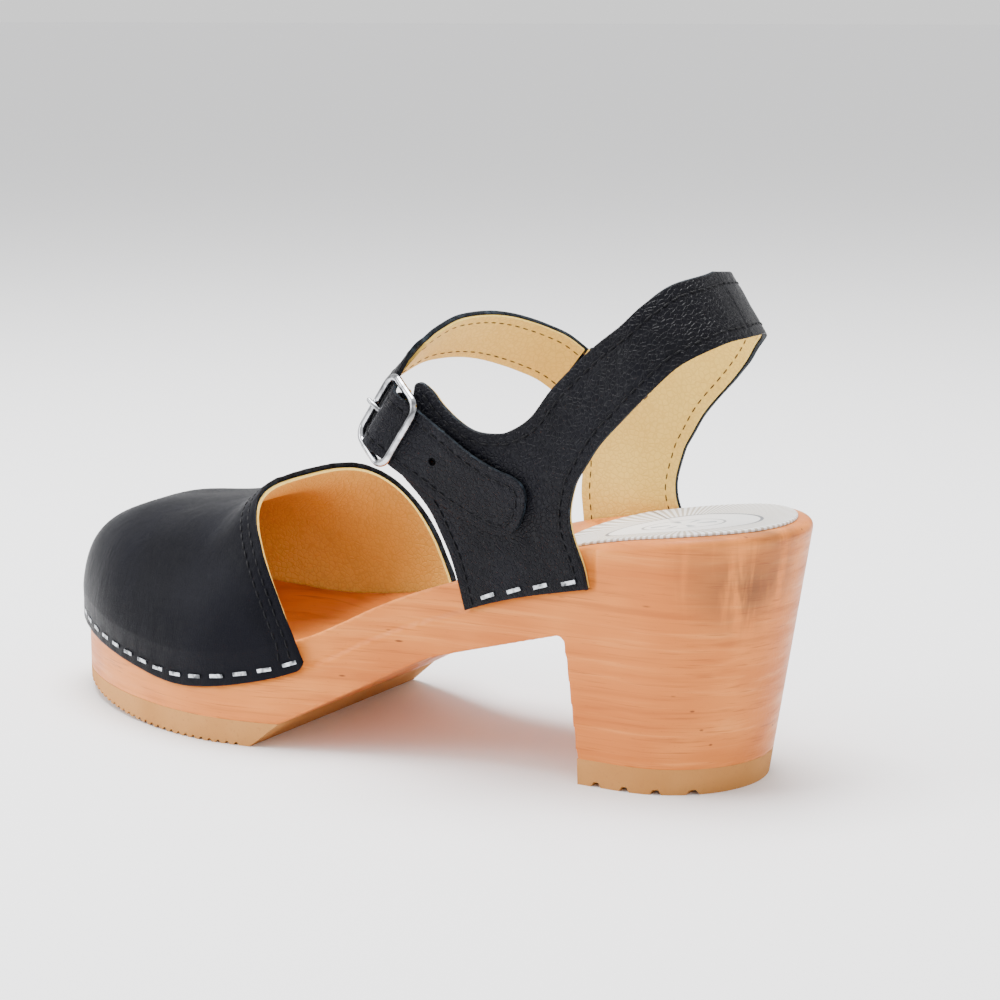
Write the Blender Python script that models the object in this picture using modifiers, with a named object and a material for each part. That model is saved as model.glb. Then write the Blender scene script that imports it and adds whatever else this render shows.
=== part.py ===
"""High-heeled clog: a wooden sole with a closed leather toe, a heel strap and a buckled instep strap.

Left shoe. Metres, +Z up, toe towards -X, outer side of the foot towards -Y, origin on the ground.
"""

import math

import bmesh
import bpy
import numpy as np
from mathutils import Matrix, Vector

# Wooden sole
TOE_X = -0.125
HEEL_X = 0.125
TOE_Y = 0.005
HEEL_RADIUS = 0.0315
HEEL_CENTRE_X = HEEL_X - HEEL_RADIUS
HEEL_BOTTOM_RADIUS = 0.0296
HEEL_BOTTOM_SHIFT = 0.0101
HEEL_HEIGHT = 0.074
ARCH_RISE = 0.006
ARCH_X = 0.030
REBATE_DEPTH = 0.0014
LAP = 0.0095
LAP_REAR = 0.0124
LAP_SWELL = 0.0014
LAP_SWELL_X = -0.052
LAP_SWELL_WIDTH = 0.022
CORNER_REACH = 0.0024
RIM_LAND = 0.003
DISH_WIDTH = 0.020
BREAST_BOTTOM_X = 0.0705

# Rubber
RUBBER = 0.0075
FRONT_REAR_X = -0.0305
FRONT_REAR_TOP_X = -0.0215
TOE_SPRING_X = -0.052
TOE_SPRING = 0.95
TREAD_PITCH = 0.0088
TREAD_GROOVE = 0.0016
TREAD_DEPTH = 0.0012

# Layers of the upper
GAP = 0.0003
LINING = 0.0008
LEATHER = 0.0014
UPPER = LINING + GAP + LEATHER
UPPER_INSET = REBATE_DEPTH - GAP
UPPER_OUT = UPPER - UPPER_INSET
PAD = 0.0008

# Straps, buckle and staples
STRAP_WIDTH = 0.0186
STRAP_THICKNESS = LEATHER
TIP_LENGTH = 0.009
HOLE_RADIUS = 0.0012
PRONG_HOLE_RADIUS = 0.0016
TIP_TO_HOLE = 0.0310
WIRE_RADIUS = 0.0011
BAR_RADIUS = 0.0010
BAR_DROP = 0.0011
FRAME_BOW = 0.0003
FRAME_CORNER = 0.0040
FRAME_HALF_WIDTH = 0.0110
TAB_THICKNESS = 0.0009
TAB_WIDTH = 0.0170
TAB_START = 0.0049
TAB_LEG = 0.0130
PRONG_RADIUS = 0.0007
PRONG_SLOT = 0.0040
OVER_BAR = 0.0036
UNDER_BAR = 0.0022
STAPLE_LENGTH = 0.0045
STAPLE_WIDTH = 0.0011
STAPLE_WIRE = 0.0007
STAPLE_DEPTH = 0.0040
STAPLE_PROUD = 0.0003
STAPLE_UP = 0.0034
STAPLE_PITCH = 0.0077

# The sole's sides: (ball half width, toe curve from x, widest at x, waist at x, waist half width, toe power)
SIDES = {-1: (0.0475, -0.045, -0.045, 0.035, 0.0315, 1.68), 1: (0.0440, -0.050, -0.035, 0.025, 0.0305, 2.2)}

# Height of the footbed's rim along the shoe
RIM = [
    (-0.126, 0.0338), (-0.112, 0.0322), (-0.094, 0.0296), (-0.076, 0.0277), (-0.058, 0.0266),
    (-0.042, 0.0277), (-0.025, 0.0304), (-0.014, 0.0338), (-0.004, 0.0386), (0.005, 0.0434),
    (0.015, 0.0479), (0.026, 0.0520), (0.033, 0.0543), (0.045, 0.0590), (0.060, 0.0645),
    (0.075, 0.0687), (0.091, 0.0716), (0.109, 0.0737), (0.126, 0.0745),
]
# Depth of the dished footbed along the shoe
DISH = [(-0.126, 0.003), (-0.060, 0.0045), (0.000, 0.0050), (0.040, 0.0030), (0.070, 0.0012), (0.126, 0.0012)]

# The vamp: its rim's x at the crown and at its two corners, and the crown's height along the shoe
VAMP_CROWN_X = -0.0443
VAMP_LATERAL_X = -0.0150
VAMP_MEDIAL_X = -0.0119
VAMP_TOP = [
    (-0.1264, 0.0338), (-0.1252, 0.0430), (-0.119, 0.0508), (-0.109, 0.0568), (-0.094, 0.0612),
    (-0.074, 0.0633), (-0.056, 0.0664), (-0.038, 0.0791), (-0.020, 0.0925),
]

# Ankle part of the upper, by height: radius round the heel, its centre's x, and the back's depth over that radius
ANKLE_RADIUS = [(0.040, 0.0305), (0.068, 0.0305), (0.085, 0.0318), (0.105, 0.0305), (0.130, 0.0268), (0.147, 0.0238)]
ANKLE_CENTRE = [(0.040, 0.088), (0.090, 0.087), (0.110, 0.085), (0.130, 0.0815), (0.147, 0.0745)]
ANKLE_DEPTH = [(0.100, 1.0), (0.116, 0.93), (0.1262, 0.86), (0.132, 0.805), (0.145, 0.75)]
ANKLE_SPREAD = 0.10

# The quarters' edges as (distance from the back of the heel along the upper, height)
LATERAL_FRONT = [(0.1243, 0.0890), (0.1195, 0.0832), (0.1141, 0.0775), (0.1100, 0.0722), (0.1051, 0.0629),
                 (0.1026, 0.0559), (0.0999, 0.0459)]
MEDIAL_FRONT = [(0.1085, 0.0985), (0.1030, 0.0895), (0.0993, 0.0810), (0.0975, 0.0720), (0.0965, 0.0630),
                (0.0960, 0.0530)]
REAR = [(0.0608, 0.0567), (0.0623, 0.0630), (0.0660, 0.0724), (0.0670, 0.0784), (0.0658, 0.0850),
        (0.0626, 0.0903), (0.0570, 0.0972), (0.0484, 0.1047), (0.0374, 0.1134), (0.0267, 0.1202),
        (0.0124, 0.1245), (0.0, 0.1253)]
LATERAL_TOP = [(0.1113, 0.1055), (0.1112, 0.1090), (0.1100, 0.1105), (0.1082, 0.1104), (0.1058, 0.1083),
               (0.1037, 0.1051), (0.0995, 0.1010), (0.0948, 0.0984)]
MEDIAL_TOP = [(0.0905, 0.1140), (0.0893, 0.1100), (0.0880, 0.1060), (0.0867, 0.1026)]
SADDLE = [(0.0890, 0.0980), (0.0840, 0.0991)]
MEDIAL_SADDLE = [(0.0850, 0.1005), (0.0822, 0.1004)]
HEEL_TOP = [(0.0765, 0.1034), (0.0672, 0.1123), (0.0531, 0.1226), (0.0408, 0.1298), (0.0303, 0.1356),
            (0.0176, 0.1404), (0.0, 0.1425)]

# Instep strap: middle line of its outer face, from the inner root over the instep
STRAP_ARCH = [(0.0331, 0.0356, 0.1062), (0.0281, 0.0290, 0.1121), (0.0238, 0.0215, 0.1157),
              (0.0207, 0.0130, 0.1187), (0.0181, 0.0040, 0.1206), (0.0160, -0.0060, 0.1212),
              (0.0138, -0.0150, 0.1202), (0.0119, -0.0245, 0.1165), (0.0105, -0.0293, 0.1123)]
ARCH_ACROSS = Vector((0.707, 0.0, 0.707))
ROOT_ACROSS = Vector((0.652, -0.120, 0.747))
# The strap's tail: (distance from the back of the heel, height)
TAIL = [(0.1085, 0.0895), (0.1000, 0.0837), (0.0900, 0.0793), (0.0800, 0.0768)]

# Buckle: middles of its two end bars, and the way its bars point
FRONT_BAR = Vector((0.0066, -0.0330, 0.1034))
REAR_BAR = Vector((0.0192, -0.0405, 0.0954))
BAR_WAY = Vector((-0.545, -0.017, -0.840))

# Middle of the whole shoe in plan, which is moved to the origin
ORIGIN = (-0.000862, -0.001711)

COLOURS = {
    "wood": ((0.62, 0.34, 0.18), 0.55, 0.0),
    "rubber": ((0.60, 0.42, 0.27), 0.85, 0.0),
    "leather": ((0.012, 0.012, 0.018), 0.45, 0.0),
    "lining": ((0.80, 0.62, 0.32), 0.75, 0.0),
    "pad": ((0.85, 0.85, 0.82), 0.60, 0.0),
    "staple": ((0.75, 0.76, 0.78), 0.25, 1.0),
    "chrome": ((0.80, 0.80, 0.82), 0.10, 1.0),
}


# Numbers and curves


def smoothstep(t):
    t = np.clip(t, 0.0, 1.0)
    return t * t * (3 - 2 * t)


def through(knots, x):
    """Monotone cubic through the knots (x, value)."""
    k = np.array(knots, float)
    h = np.diff(k[:, 0])
    d = np.diff(k[:, 1]) / h
    m = np.concatenate([[d[0]], np.zeros(len(d) - 1), [d[-1]]])
    for i in range(1, len(d)):
        if d[i - 1] * d[i] > 0:
            w1, w2 = 2 * h[i] + h[i - 1], h[i] + 2 * h[i - 1]
            m[i] = (w1 + w2) / (w1 / d[i - 1] + w2 / d[i])
    x = np.clip(np.asarray(x, float), k[0, 0], k[-1, 0])
    i = np.clip(np.searchsorted(k[:, 0], x) - 1, 0, len(h) - 1)
    t = (x - k[i, 0]) / h[i]
    start = (2 * t**3 - 3 * t * t + 1) * k[i, 1] + (t**3 - 2 * t * t + t) * h[i] * m[i]
    return start + (3 * t * t - 2 * t**3) * k[i + 1, 1] + (t**3 - t * t) * h[i] * m[i + 1]


def smooth_line(points, fine=24):
    """Catmull-Rom line through the points, as many finely spaced points."""
    p = np.array([list(q) for q in points], float)
    p = np.vstack([2 * p[0] - p[1], p, 2 * p[-1] - p[-2]])
    t = np.linspace(0, 1, fine, endpoint=False)[:, None]
    line = []
    for a, b, c, d in zip(p, p[1:], p[2:], p[3:]):
        line.append(0.5 * (2 * b + (c - a) * t + (2 * a - 5 * b + 4 * c - d) * t**2
                           + (3 * b - a - 3 * c + d) * t**3))
    return np.vstack([*line, p[-2:-1]])


def evenly(line, n):
    """n points evenly along a line of points."""
    steps = np.linalg.norm(np.diff(line, axis=0), axis=1)
    s = np.concatenate([[0], np.cumsum(steps)])
    at = np.linspace(0, s[-1], n)
    return np.stack([np.interp(at, s, line[:, i]) for i in range(line.shape[1])], 1)


# Shape of the sole


def half_width(x, side):
    """Distance from the middle line to the sole's edge; side is -1 on the outer side and 1 on the inner."""
    ball, toe_from, widest, waist_x, waist, power = SIDES[side]
    x = np.asarray(x, float)
    y = waist + (HEEL_RADIUS - waist) * smoothstep((x - waist_x) / 0.04)
    y = y + (ball - waist) * smoothstep((waist_x - x) / (waist_x - widest))
    u = np.clip((toe_from - x) / (toe_from - TOE_X), 0, 1)
    toe = side * TOE_Y + (ball - side * TOE_Y) * (1 - u**power) ** (1 / power)
    back = np.sqrt(np.clip(HEEL_RADIUS**2 - np.clip(x - HEEL_CENTRE_X, 0, None) ** 2, 0, None))
    return np.where(x < toe_from, toe, np.where(x > HEEL_CENTRE_X, back, y))


def outline_line():
    """The sole's plan outline, from the back of the heel round by the outer side, finely spaced."""
    x = (HEEL_X + TOE_X) / 2 + (HEEL_X - TOE_X) / 2 * np.cos(np.linspace(0, math.pi, 1201))
    outer = np.stack([x, -half_width(x, -1)], 1)
    inner = np.stack([x, half_width(x, 1)], 1)[::-1]
    return np.vstack([outer, inner[1:]])


def outward(line):
    """Unit normals of a plan line that runs clockwise, pointing out."""
    d = np.gradient(line, axis=0)
    n = np.stack([d[:, 1], -d[:, 0]], 1) * -1
    return n / np.linalg.norm(n, axis=1)[:, None]


def tapered(plan, z):
    """Plan points moved in for the heel's taper at height z."""
    k = 1 - z / HEEL_HEIGHT
    x, y = plan[:, 0], plan[:, 1]
    ramp = smoothstep((x - 0.045) / (HEEL_CENTRE_X - 0.045))
    shrink = HEEL_BOTTOM_RADIUS / HEEL_RADIUS
    past = np.clip(x - HEEL_CENTRE_X, 0, None)
    x = x - k * (HEEL_BOTTOM_SHIFT * ramp + past * (1 - shrink))
    y = y * (1 - k * (1 - shrink) * smoothstep((plan[:, 0] - 0.02) / 0.04))
    return np.stack([x, y], 1)


def rim_z(x, y):
    """Height of the footbed's rim, raised under the inner arch."""
    bell = np.exp(-(((np.asarray(x) - ARCH_X) / 0.026) ** 2))
    return through(RIM, x) + ARCH_RISE * bell * smoothstep(np.asarray(y) / 0.05 + 0.5)


def lap(x):
    """Height of the leather's overlap on the sole's side."""
    x = np.asarray(x, float)
    swell = LAP_SWELL * np.exp(-(((x - LAP_SWELL_X) / LAP_SWELL_WIDTH) ** 2))
    return LAP + swell + (LAP_REAR - LAP) * smoothstep((x - 0.036) / 0.04)


def footbed_z(x, y, edge):
    """Height of the dished footbed; edge is the distance to the rim."""
    return rim_z(x, y) - through(DISH, x) * smoothstep((edge - RIM_LAND) / DISH_WIDTH)


def ground_z(x):
    """Toe spring: how far the outsole's underside lifts ahead of the ball."""
    return TOE_SPRING * np.clip(TOE_SPRING_X - np.asarray(x, float), 0, None) ** 2


def underside(rubber_top):
    """Side profile of the wood's underside from toe to heel, at rubber_top above the ground."""
    arch = smooth_line([(0.0150, 0.0268), (0.0215, 0.0300), (0.0270, 0.0318), (0.0400, 0.0354)], 3)
    slope_x = 0.015 - (0.0268 - rubber_top) / 0.53
    breast = [(0.0650, 0.0420), (0.0661, 0.0416), (0.0665, 0.0405)]
    return [(slope_x, rubber_top), *arch.tolist(), *breast, (BREAST_BOTTOM_X, rubber_top)]


# Shape of the upper


def vamp(phi, t):
    """Outside of the vamp above the rim: phi runs from -90 degrees on the outer side to 90, t from the toe to 1."""
    across = np.sign(phi) * np.abs(np.sin(phi)) ** 0.628
    up = np.abs(np.cos(phi)) ** 0.986
    corner = VAMP_LATERAL_X + (VAMP_MEDIAL_X - VAMP_LATERAL_X) * (0.5 + 0.5 * np.sin(phi))
    rim_x = corner + (VAMP_CROWN_X - corner) * up**1.06
    toe_x = TOE_X - UPPER_OUT
    x = toe_x + (rim_x - toe_x) * t
    sole_x = TOE_X + (x - toe_x) * 0.08 / (0.08 + UPPER_OUT)
    outer = half_width(sole_x, -1) + UPPER_OUT
    inner = half_width(sole_x, 1) + UPPER_OUT
    base = through(RIM, x)
    height = through(VAMP_TOP, x) - base
    close = np.clip(height / 0.04, 0, 1)
    half = (inner + outer) / 2 * np.clip((x - toe_x) / 0.0002, 0, 1)
    y = (inner - outer) / 2 + 0.0060 * up * close + half * across * (1 - 0.0207 * up * close)
    return np.stack([x, y, base + height * up], -1)


def ankle(q, z, out=0.0):
    """The upper round the heel: q is the distance along it from the back, negative on the outer side."""
    r = through(ANKLE_RADIUS, z)
    along = np.abs(q)
    turn = np.clip(along / r, 0, math.pi / 2)
    past = np.clip(along - r * math.pi / 2, 0, None)
    x = through(ANKLE_CENTRE, z) + through(ANKLE_DEPTH, z) * (r + out) * np.cos(turn) - past
    spread = ANKLE_SPREAD * smoothstep((z - 0.07) / 0.03) * past * past / (past + 0.05)
    return np.stack([x, np.sign(q) * ((r + out) * np.sin(turn) + spread), z], -1)


def base_edge(front, side, n):
    """The lower edge of a quarter, which follows the sole's rim, from its front corner to its rear one."""
    q = np.linspace(front, REAR[0][0], n)
    x = ankle(side * q, np.full(n, 0.055))[:, 0]
    return np.stack([q, rim_z(x, side * HEEL_RADIUS) - lap(x) + 0.0006], 1)


def half_quarter(front, top, saddle, side, columns):
    """Lower and upper edges of one side, from its front end to the back of the heel, column by column."""
    n_front, n_base, n_rise, n_back = columns
    rear = smooth_line(REAR)
    knot = 24
    low = [
        evenly(smooth_line(front), n_front)[:-1],
        base_edge(front[-1][0], side, n_base)[:-1],
        evenly(rear[: 3 * knot + 1], n_rise)[:-1],
        evenly(rear[3 * knot:], n_back),
    ]
    upper = smooth_line([*top, *saddle, *HEEL_TOP])
    first = knot * (len(top) - 1)
    second = knot * (len(top) + len(saddle) - 1)
    third = second + knot
    high = [
        evenly(upper[: first + 1], n_front)[:-1],
        evenly(upper[first: second + 1], n_base)[:-1],
        evenly(upper[second: third + 1], n_rise)[:-1],
        evenly(upper[third:], n_back),
    ]
    return np.vstack(low), np.vstack(high)


def quarters_grid(rows, columns=(8, 6, 4, 13)):
    """Points of the quarters and heel strap, from the outer front end round the heel to the inner one."""
    grid = []
    for side, front, top, saddle in (
        (-1, LATERAL_FRONT, LATERAL_TOP, SADDLE),
        (1, MEDIAL_FRONT, MEDIAL_TOP, MEDIAL_SADDLE),
    ):
        low, high = half_quarter(front, top, saddle, side, columns)
        t = np.linspace(0, 1, rows)[:, None, None]
        flat = low[None] + (high - low)[None] * t
        points = ankle(side * flat[..., 0], flat[..., 1])
        grid.append(points if side < 0 else points[:, -2::-1])
    return np.concatenate(grid, axis=1)


def frame_axes():
    """The buckle's own axes: along the strap, along its bars (downwards) and out of the shoe."""
    along = (REAR_BAR - FRONT_BAR).normalized()
    bars = (BAR_WAY - along * BAR_WAY.dot(along)).normalized()
    return along, bars, bars.cross(along).normalized()


def bar_middle():
    """Middle of the buckle's centre bar."""
    return (FRONT_BAR + REAR_BAR) / 2 - frame_axes()[2] * BAR_DROP


def at_buckle(a, o):
    """A point on the buckle's middle, a along the strap from its centre and o out of its plane."""
    along, _, out = frame_axes()
    return (FRONT_BAR + REAR_BAR) / 2 + along * a + out * o


def weave_points():
    """Middle line of the strap under the front bar, over the centre bar and under the rear bar."""
    half = (REAR_BAR - FRONT_BAR).length / 2
    points = []
    for turn in (0, 32):
        r = math.radians(turn)
        points.append(at_buckle(-half + UNDER_BAR * math.sin(r), -UNDER_BAR * math.cos(r)))
    for turn in (-34, -12, 12, 34):
        r = math.radians(turn)
        points.append(at_buckle(OVER_BAR * math.sin(r), -BAR_DROP + OVER_BAR * math.cos(r)))
    for turn in (-32, 5):
        r = math.radians(turn)
        points.append(at_buckle(half + UNDER_BAR * math.sin(r), -UNDER_BAR * math.cos(r)))
    return points


def arch_line():
    """Middle line and crosswise directions of the instep strap's leather, from the root towards the buckle."""
    line = smooth_line(STRAP_ARCH)[2:]
    share = smoothstep(np.linspace(0, 3, len(line)))[:, None]
    across = np.array(ROOT_ACROSS) * (1 - share) + np.array(ARCH_ACROSS) * share
    out = np.cross(across, np.gradient(line, axis=0))
    out = out / np.linalg.norm(out, axis=1)[:, None]
    line = line + out * LEATHER / 2 * (1 if out[100, 2] < 0 else -1)
    keep = np.linspace(0, len(line) - 1, 30).astype(int)
    return line[keep], across[keep]


def strap_end_line():
    """Middle line and crosswise directions of the strap from the instep, through the buckle, to the tip."""
    bars = frame_axes()[1]
    arch = arch_line()[0]
    middle = [Vector(arch[-4]), Vector(arch[-1]), *weave_points()]
    across = [ARCH_ACROSS, (ARCH_ACROSS - bars).normalized()] + [-bars] * (len(middle) - 2)
    lie = UPPER + GAP + STRAP_THICKNESS / 2
    for i, (q, z) in enumerate(TAIL):
        middle.append(Vector(ankle(np.array(-q), np.array(z), lie + 0.0003)))
        before = TAIL[max(i - 1, 0)]
        after = TAIL[min(i + 1, len(TAIL) - 1)]
        run = np.array(after) - np.array(before)
        up = np.array([-run[1], run[0]]) / np.linalg.norm(run)
        up = up if up[1] > 0 else -up
        a = ankle(np.array(-(q + up[0] * 0.01)), np.array(z + up[1] * 0.01), lie)
        b = ankle(np.array(-(q - up[0] * 0.01)), np.array(z - up[1] * 0.01), lie)
        across.append(Vector(a - b).normalized())
    return middle, across


# Meshes


def new_object(name, mesh, colour, collection):
    obj = bpy.data.objects.new(name, mesh)
    collection.objects.link(obj)
    if colour:
        obj.data.materials.append(material(colour))
    return obj


def material(name):
    found = bpy.data.materials.get(name)
    if found:
        return found
    made = bpy.data.materials.new(name)
    made.use_nodes = True
    shader = made.node_tree.nodes["Principled BSDF"]
    colour, roughness, metallic = COLOURS[name]
    shader.inputs["Base Color"].default_value = (*colour, 1.0)
    shader.inputs["Roughness"].default_value = roughness
    shader.inputs["Metallic"].default_value = metallic
    return made


def grid_mesh(name, points, close_rows=False, close_columns=False, caps=False):
    """A mesh of quads over an array of points, rows by columns."""
    rows, columns = points.shape[:2]
    bm = bmesh.new()
    verts = [[bm.verts.new(p) for p in row] for row in points]
    for i in range(rows if close_rows else rows - 1):
        for j in range(columns if close_columns else columns - 1):
            i1, j1 = (i + 1) % rows, (j + 1) % columns
            bm.faces.new((verts[i][j], verts[i][j1], verts[i1][j1], verts[i1][j]))
    if caps:
        bm.faces.new(verts[0][::-1])
        bm.faces.new(verts[-1])
    bmesh.ops.remove_doubles(bm, verts=bm.verts, dist=1e-6)
    bmesh.ops.recalc_face_normals(bm, faces=bm.faces)
    mesh = bpy.data.meshes.new(name)
    bm.to_mesh(mesh)
    bm.free()
    return mesh


def loft(name, rings, colour, collection):
    """A closed solid through rings of points."""
    return new_object(name, grid_mesh(name, rings, close_columns=True, caps=True), colour, collection)


def side_slab(name, profile, half, collection):
    """A cutter: a side profile in XZ made into a slab across the shoe."""
    ring = np.array([(x, 0.0, z) for x, z in profile])
    rings = np.stack([ring + (0, -half, 0), ring + (0, half, 0)])
    return loft(name, rings, None, collection)


def triangulate(obj):
    bm = bmesh.new()
    bm.from_mesh(obj.data)
    bmesh.ops.triangulate(bm, faces=bm.faces)
    bmesh.ops.recalc_face_normals(bm, faces=bm.faces)
    bm.to_mesh(obj.data)
    bm.free()


def boolean(obj, cutter, operation="DIFFERENCE"):
    triangulate(cutter)
    modifier = obj.modifiers.new(cutter.name, "BOOLEAN")
    modifier.object = cutter
    modifier.operation = operation
    modifier.solver = "EXACT"


def apply_modifiers(obj):
    """Keeps the object's evaluated mesh as its own."""
    graph = bpy.context.evaluated_depsgraph_get()
    mesh = bpy.data.meshes.new_from_object(obj.evaluated_get(graph))
    obj.modifiers.clear()
    obj.data = mesh


def shell(obj, inner, outer, sign=1):
    """Thickens an open surface between two distances along its normals."""
    solid = obj.modifiers.new("thickness", "SOLIDIFY")
    solid.thickness = outer - inner
    solid.offset = sign * (2 * outer / (outer - inner) - 1)
    solid.use_even_offset = False


def smooth_shading(obj, degrees=35):
    obj.data.shade_smooth()
    obj.data.set_sharp_from_angle(angle=math.radians(degrees))


def facing_out(mesh, inside):
    """Turns an open surface so that its normals point away from a point inside it."""
    total = sum((p.center - inside).dot(p.normal) * p.area for p in mesh.polygons)
    if total < 0:
        mesh.flip_normals()
    return mesh


# Sole


def edge_distance(points, line):
    return np.array([np.linalg.norm(line - p, axis=1).min() for p in points])


def footbed_cutter(line, cutters):
    """A block whose underside is the dished footbed."""
    xs = np.concatenate([np.linspace(-0.135, 0.0, 14), np.linspace(0.012, 0.135, 13)])
    ys = np.linspace(-0.056, 0.056, 15)
    x, y = np.meshgrid(xs, ys, indexing="ij")
    edge = edge_distance(np.stack([x.ravel(), y.ravel()], 1), line).reshape(x.shape)
    outside = np.abs(y) > np.where(y < 0, half_width(x, -1), half_width(x, 1))
    z = footbed_z(x, y, np.where(outside, 0, edge))
    bm = bmesh.new()
    top = 0.12
    verts = [[bm.verts.new(p) for p in row] for row in np.stack([x, y, z], -1)]
    for i in range(len(xs) - 1):
        for j in range(len(ys) - 1):
            bm.faces.new((verts[i][j], verts[i][j + 1], verts[i + 1][j + 1], verts[i + 1][j]))
    rim = bmesh.ops.extrude_edge_only(bm, edges=[e for e in bm.edges if e.is_boundary])
    raised = [v for v in rim["geom"] if isinstance(v, bmesh.types.BMVert)]
    for v in raised:
        v.co.z = top
    bmesh.ops.contextual_create(bm, geom=[e for e in bm.edges if e.is_boundary])
    bmesh.ops.recalc_face_normals(bm, faces=bm.faces)
    mesh = bpy.data.meshes.new("footbed_cutter")
    bm.to_mesh(mesh)
    bm.free()
    return new_object("footbed_cutter", mesh, None, cutters)


def rebate_cutter(line, cutters):
    """A band round the front and sides that sets the wood in where leather laps over it."""
    start = int(np.argmin(np.abs(line[:1201, 0] - 0.0765)))
    end = len(line) - 1 - start
    part = evenly(line[start: end + 1], 72)
    n = outward(part)
    step = rim_z(part[:, 0], part[:, 1]) - lap(part[:, 0])
    inner, outer = part - n * REBATE_DEPTH, part + n * 0.006
    rings = []
    for (xi, yi), (xo, yo), z in zip(inner, outer, step):
        rings.append([(xi, yi, z), (xo, yo, z), (xo, yo, 0.1), (xi, yi, 0.1)])
    return loft("rebate_cutter", np.array(rings), None, cutters)


def sole_block(name, line, low, high, levels, n, inset, colour, collection):
    """The sole's outline lofted from one height to another, with the heel's taper."""
    plan = evenly(line, n + 1)[:-1]
    plan = plan - outward(np.vstack([plan[-1:], plan, plan[:1]]))[1:-1] * inset
    rings = []
    for z in np.linspace(low, high, levels):
        flat = tapered(plan, z)
        rings.append(np.column_stack([flat, np.full(len(flat), z)]))
    return loft(name, np.array(rings), colour, collection)


def wood_sole(line, footbed, parts, cutters):
    wood = sole_block("wood_sole", line, 0.0, 0.090, 3, 96, 0.0, "wood", parts)
    level = RUBBER + GAP
    low = [(-0.14, -0.01), (-0.14, level), *underside(level), (0.14, level), (0.14, -0.01)]
    boolean(wood, side_slab("underside_cutter", low, 0.06, cutters))
    boolean(wood, footbed)
    boolean(wood, rebate_cutter(line, cutters))
    apply_modifiers(wood)
    return wood


def tread_cutter(name, start, end, cutters):
    """Grooves across the underside of the rubber, as a comb-shaped slab."""
    profile = [(end + 0.01, -0.01), (start - 0.01, -0.01)]
    for x in np.arange(start, end, TREAD_PITCH):
        z = float(ground_z(x)) + TREAD_DEPTH
        floor = -0.002
        profile += [(x - TREAD_GROOVE / 2, floor), (x - TREAD_GROOVE / 2, z)]
        profile += [(x + TREAD_GROOVE / 2, z), (x + TREAD_GROOVE / 2, floor)]
    profile.append((end + 0.01, -0.002))
    return side_slab(name, profile, 0.06, cutters)


def front_outsole(line, parts, cutters):
    rubber = sole_block("front_outsole", line, -0.005, 0.03, 2, 96, 0.0, "rubber", parts)
    xs = np.linspace(-0.135, TOE_SPRING_X, 8)
    profile = [(x, float(ground_z(x))) for x in xs]
    profile += [(FRONT_REAR_X, 0.0), (FRONT_REAR_TOP_X, RUBBER), (-0.135, RUBBER)]
    boolean(rubber, side_slab("front_outsole_slab", profile, 0.06, cutters), "INTERSECT")
    boolean(rubber, tread_cutter("front_tread_cutter", -0.116, -0.034, cutters))
    apply_modifiers(rubber)
    return rubber


def heel_lift(line, parts, cutters):
    rubber = sole_block("heel_lift", line, 0.0, RUBBER, 2, 96, 0.0, "rubber", parts)
    breast = BREAST_BOTTOM_X + 0.0003
    keep = [(breast, -0.01), (0.14, -0.01), (0.14, 0.02), (breast - 0.0004, 0.02)]
    boolean(rubber, side_slab("heel_lift_slab", keep, 0.06, cutters), "INTERSECT")
    boolean(rubber, tread_cutter("heel_tread_cutter", 0.0765, 0.108, cutters))
    apply_modifiers(rubber)
    return rubber


def heel_pad(line, footbed, parts, cutters):
    """A thin cover on the heel seat, with a tapered front end, cut from a block between two copies of the footbed."""
    middle = len(line) // 2
    edge = line - outward(line) * 0.0042
    seat = line[:, 0] > 0.064
    back = evenly(np.vstack([edge[middle:][seat[middle:]], edge[:middle][seat[:middle]]]), 26)
    ring = np.vstack([back, [(0.0490, -0.016), (0.0445, -0.009), (0.0440, 0.0), (0.0445, 0.009), (0.0490, 0.016)]])
    rings = [np.column_stack([ring, np.full(len(ring), z)]) for z in (0.05, 0.09)]
    pad = loft("heel_pad", np.array(rings), "pad", parts)
    for name, raise_by, operation in (("pad_under", GAP, "INTERSECT"), ("pad_over", GAP + PAD, "DIFFERENCE")):
        copy = new_object(name, footbed.data.copy(), None, cutters)
        copy.data.transform(Matrix.Translation((0, 0, raise_by)))
        boolean(pad, copy, operation)
    apply_modifiers(pad)
    return pad


# Upper


def skirt_point(x, side):
    """Point of the vamp's lower edge below the rim at x; the rear corners reach further back than the rim does."""
    corner = VAMP_LATERAL_X if side < 0 else VAMP_MEDIAL_X
    x = x + CORNER_REACH * smoothstep((x - corner) / 0.010 + 1)
    sole_x = TOE_X + (x - TOE_X + UPPER_OUT) * 0.08 / (0.08 + UPPER_OUT)
    y = side * (half_width(sole_x, side) + UPPER_OUT)
    return Vector((float(x), float(y), float(rim_z(x, y) - lap(x)) + GAP))


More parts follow.
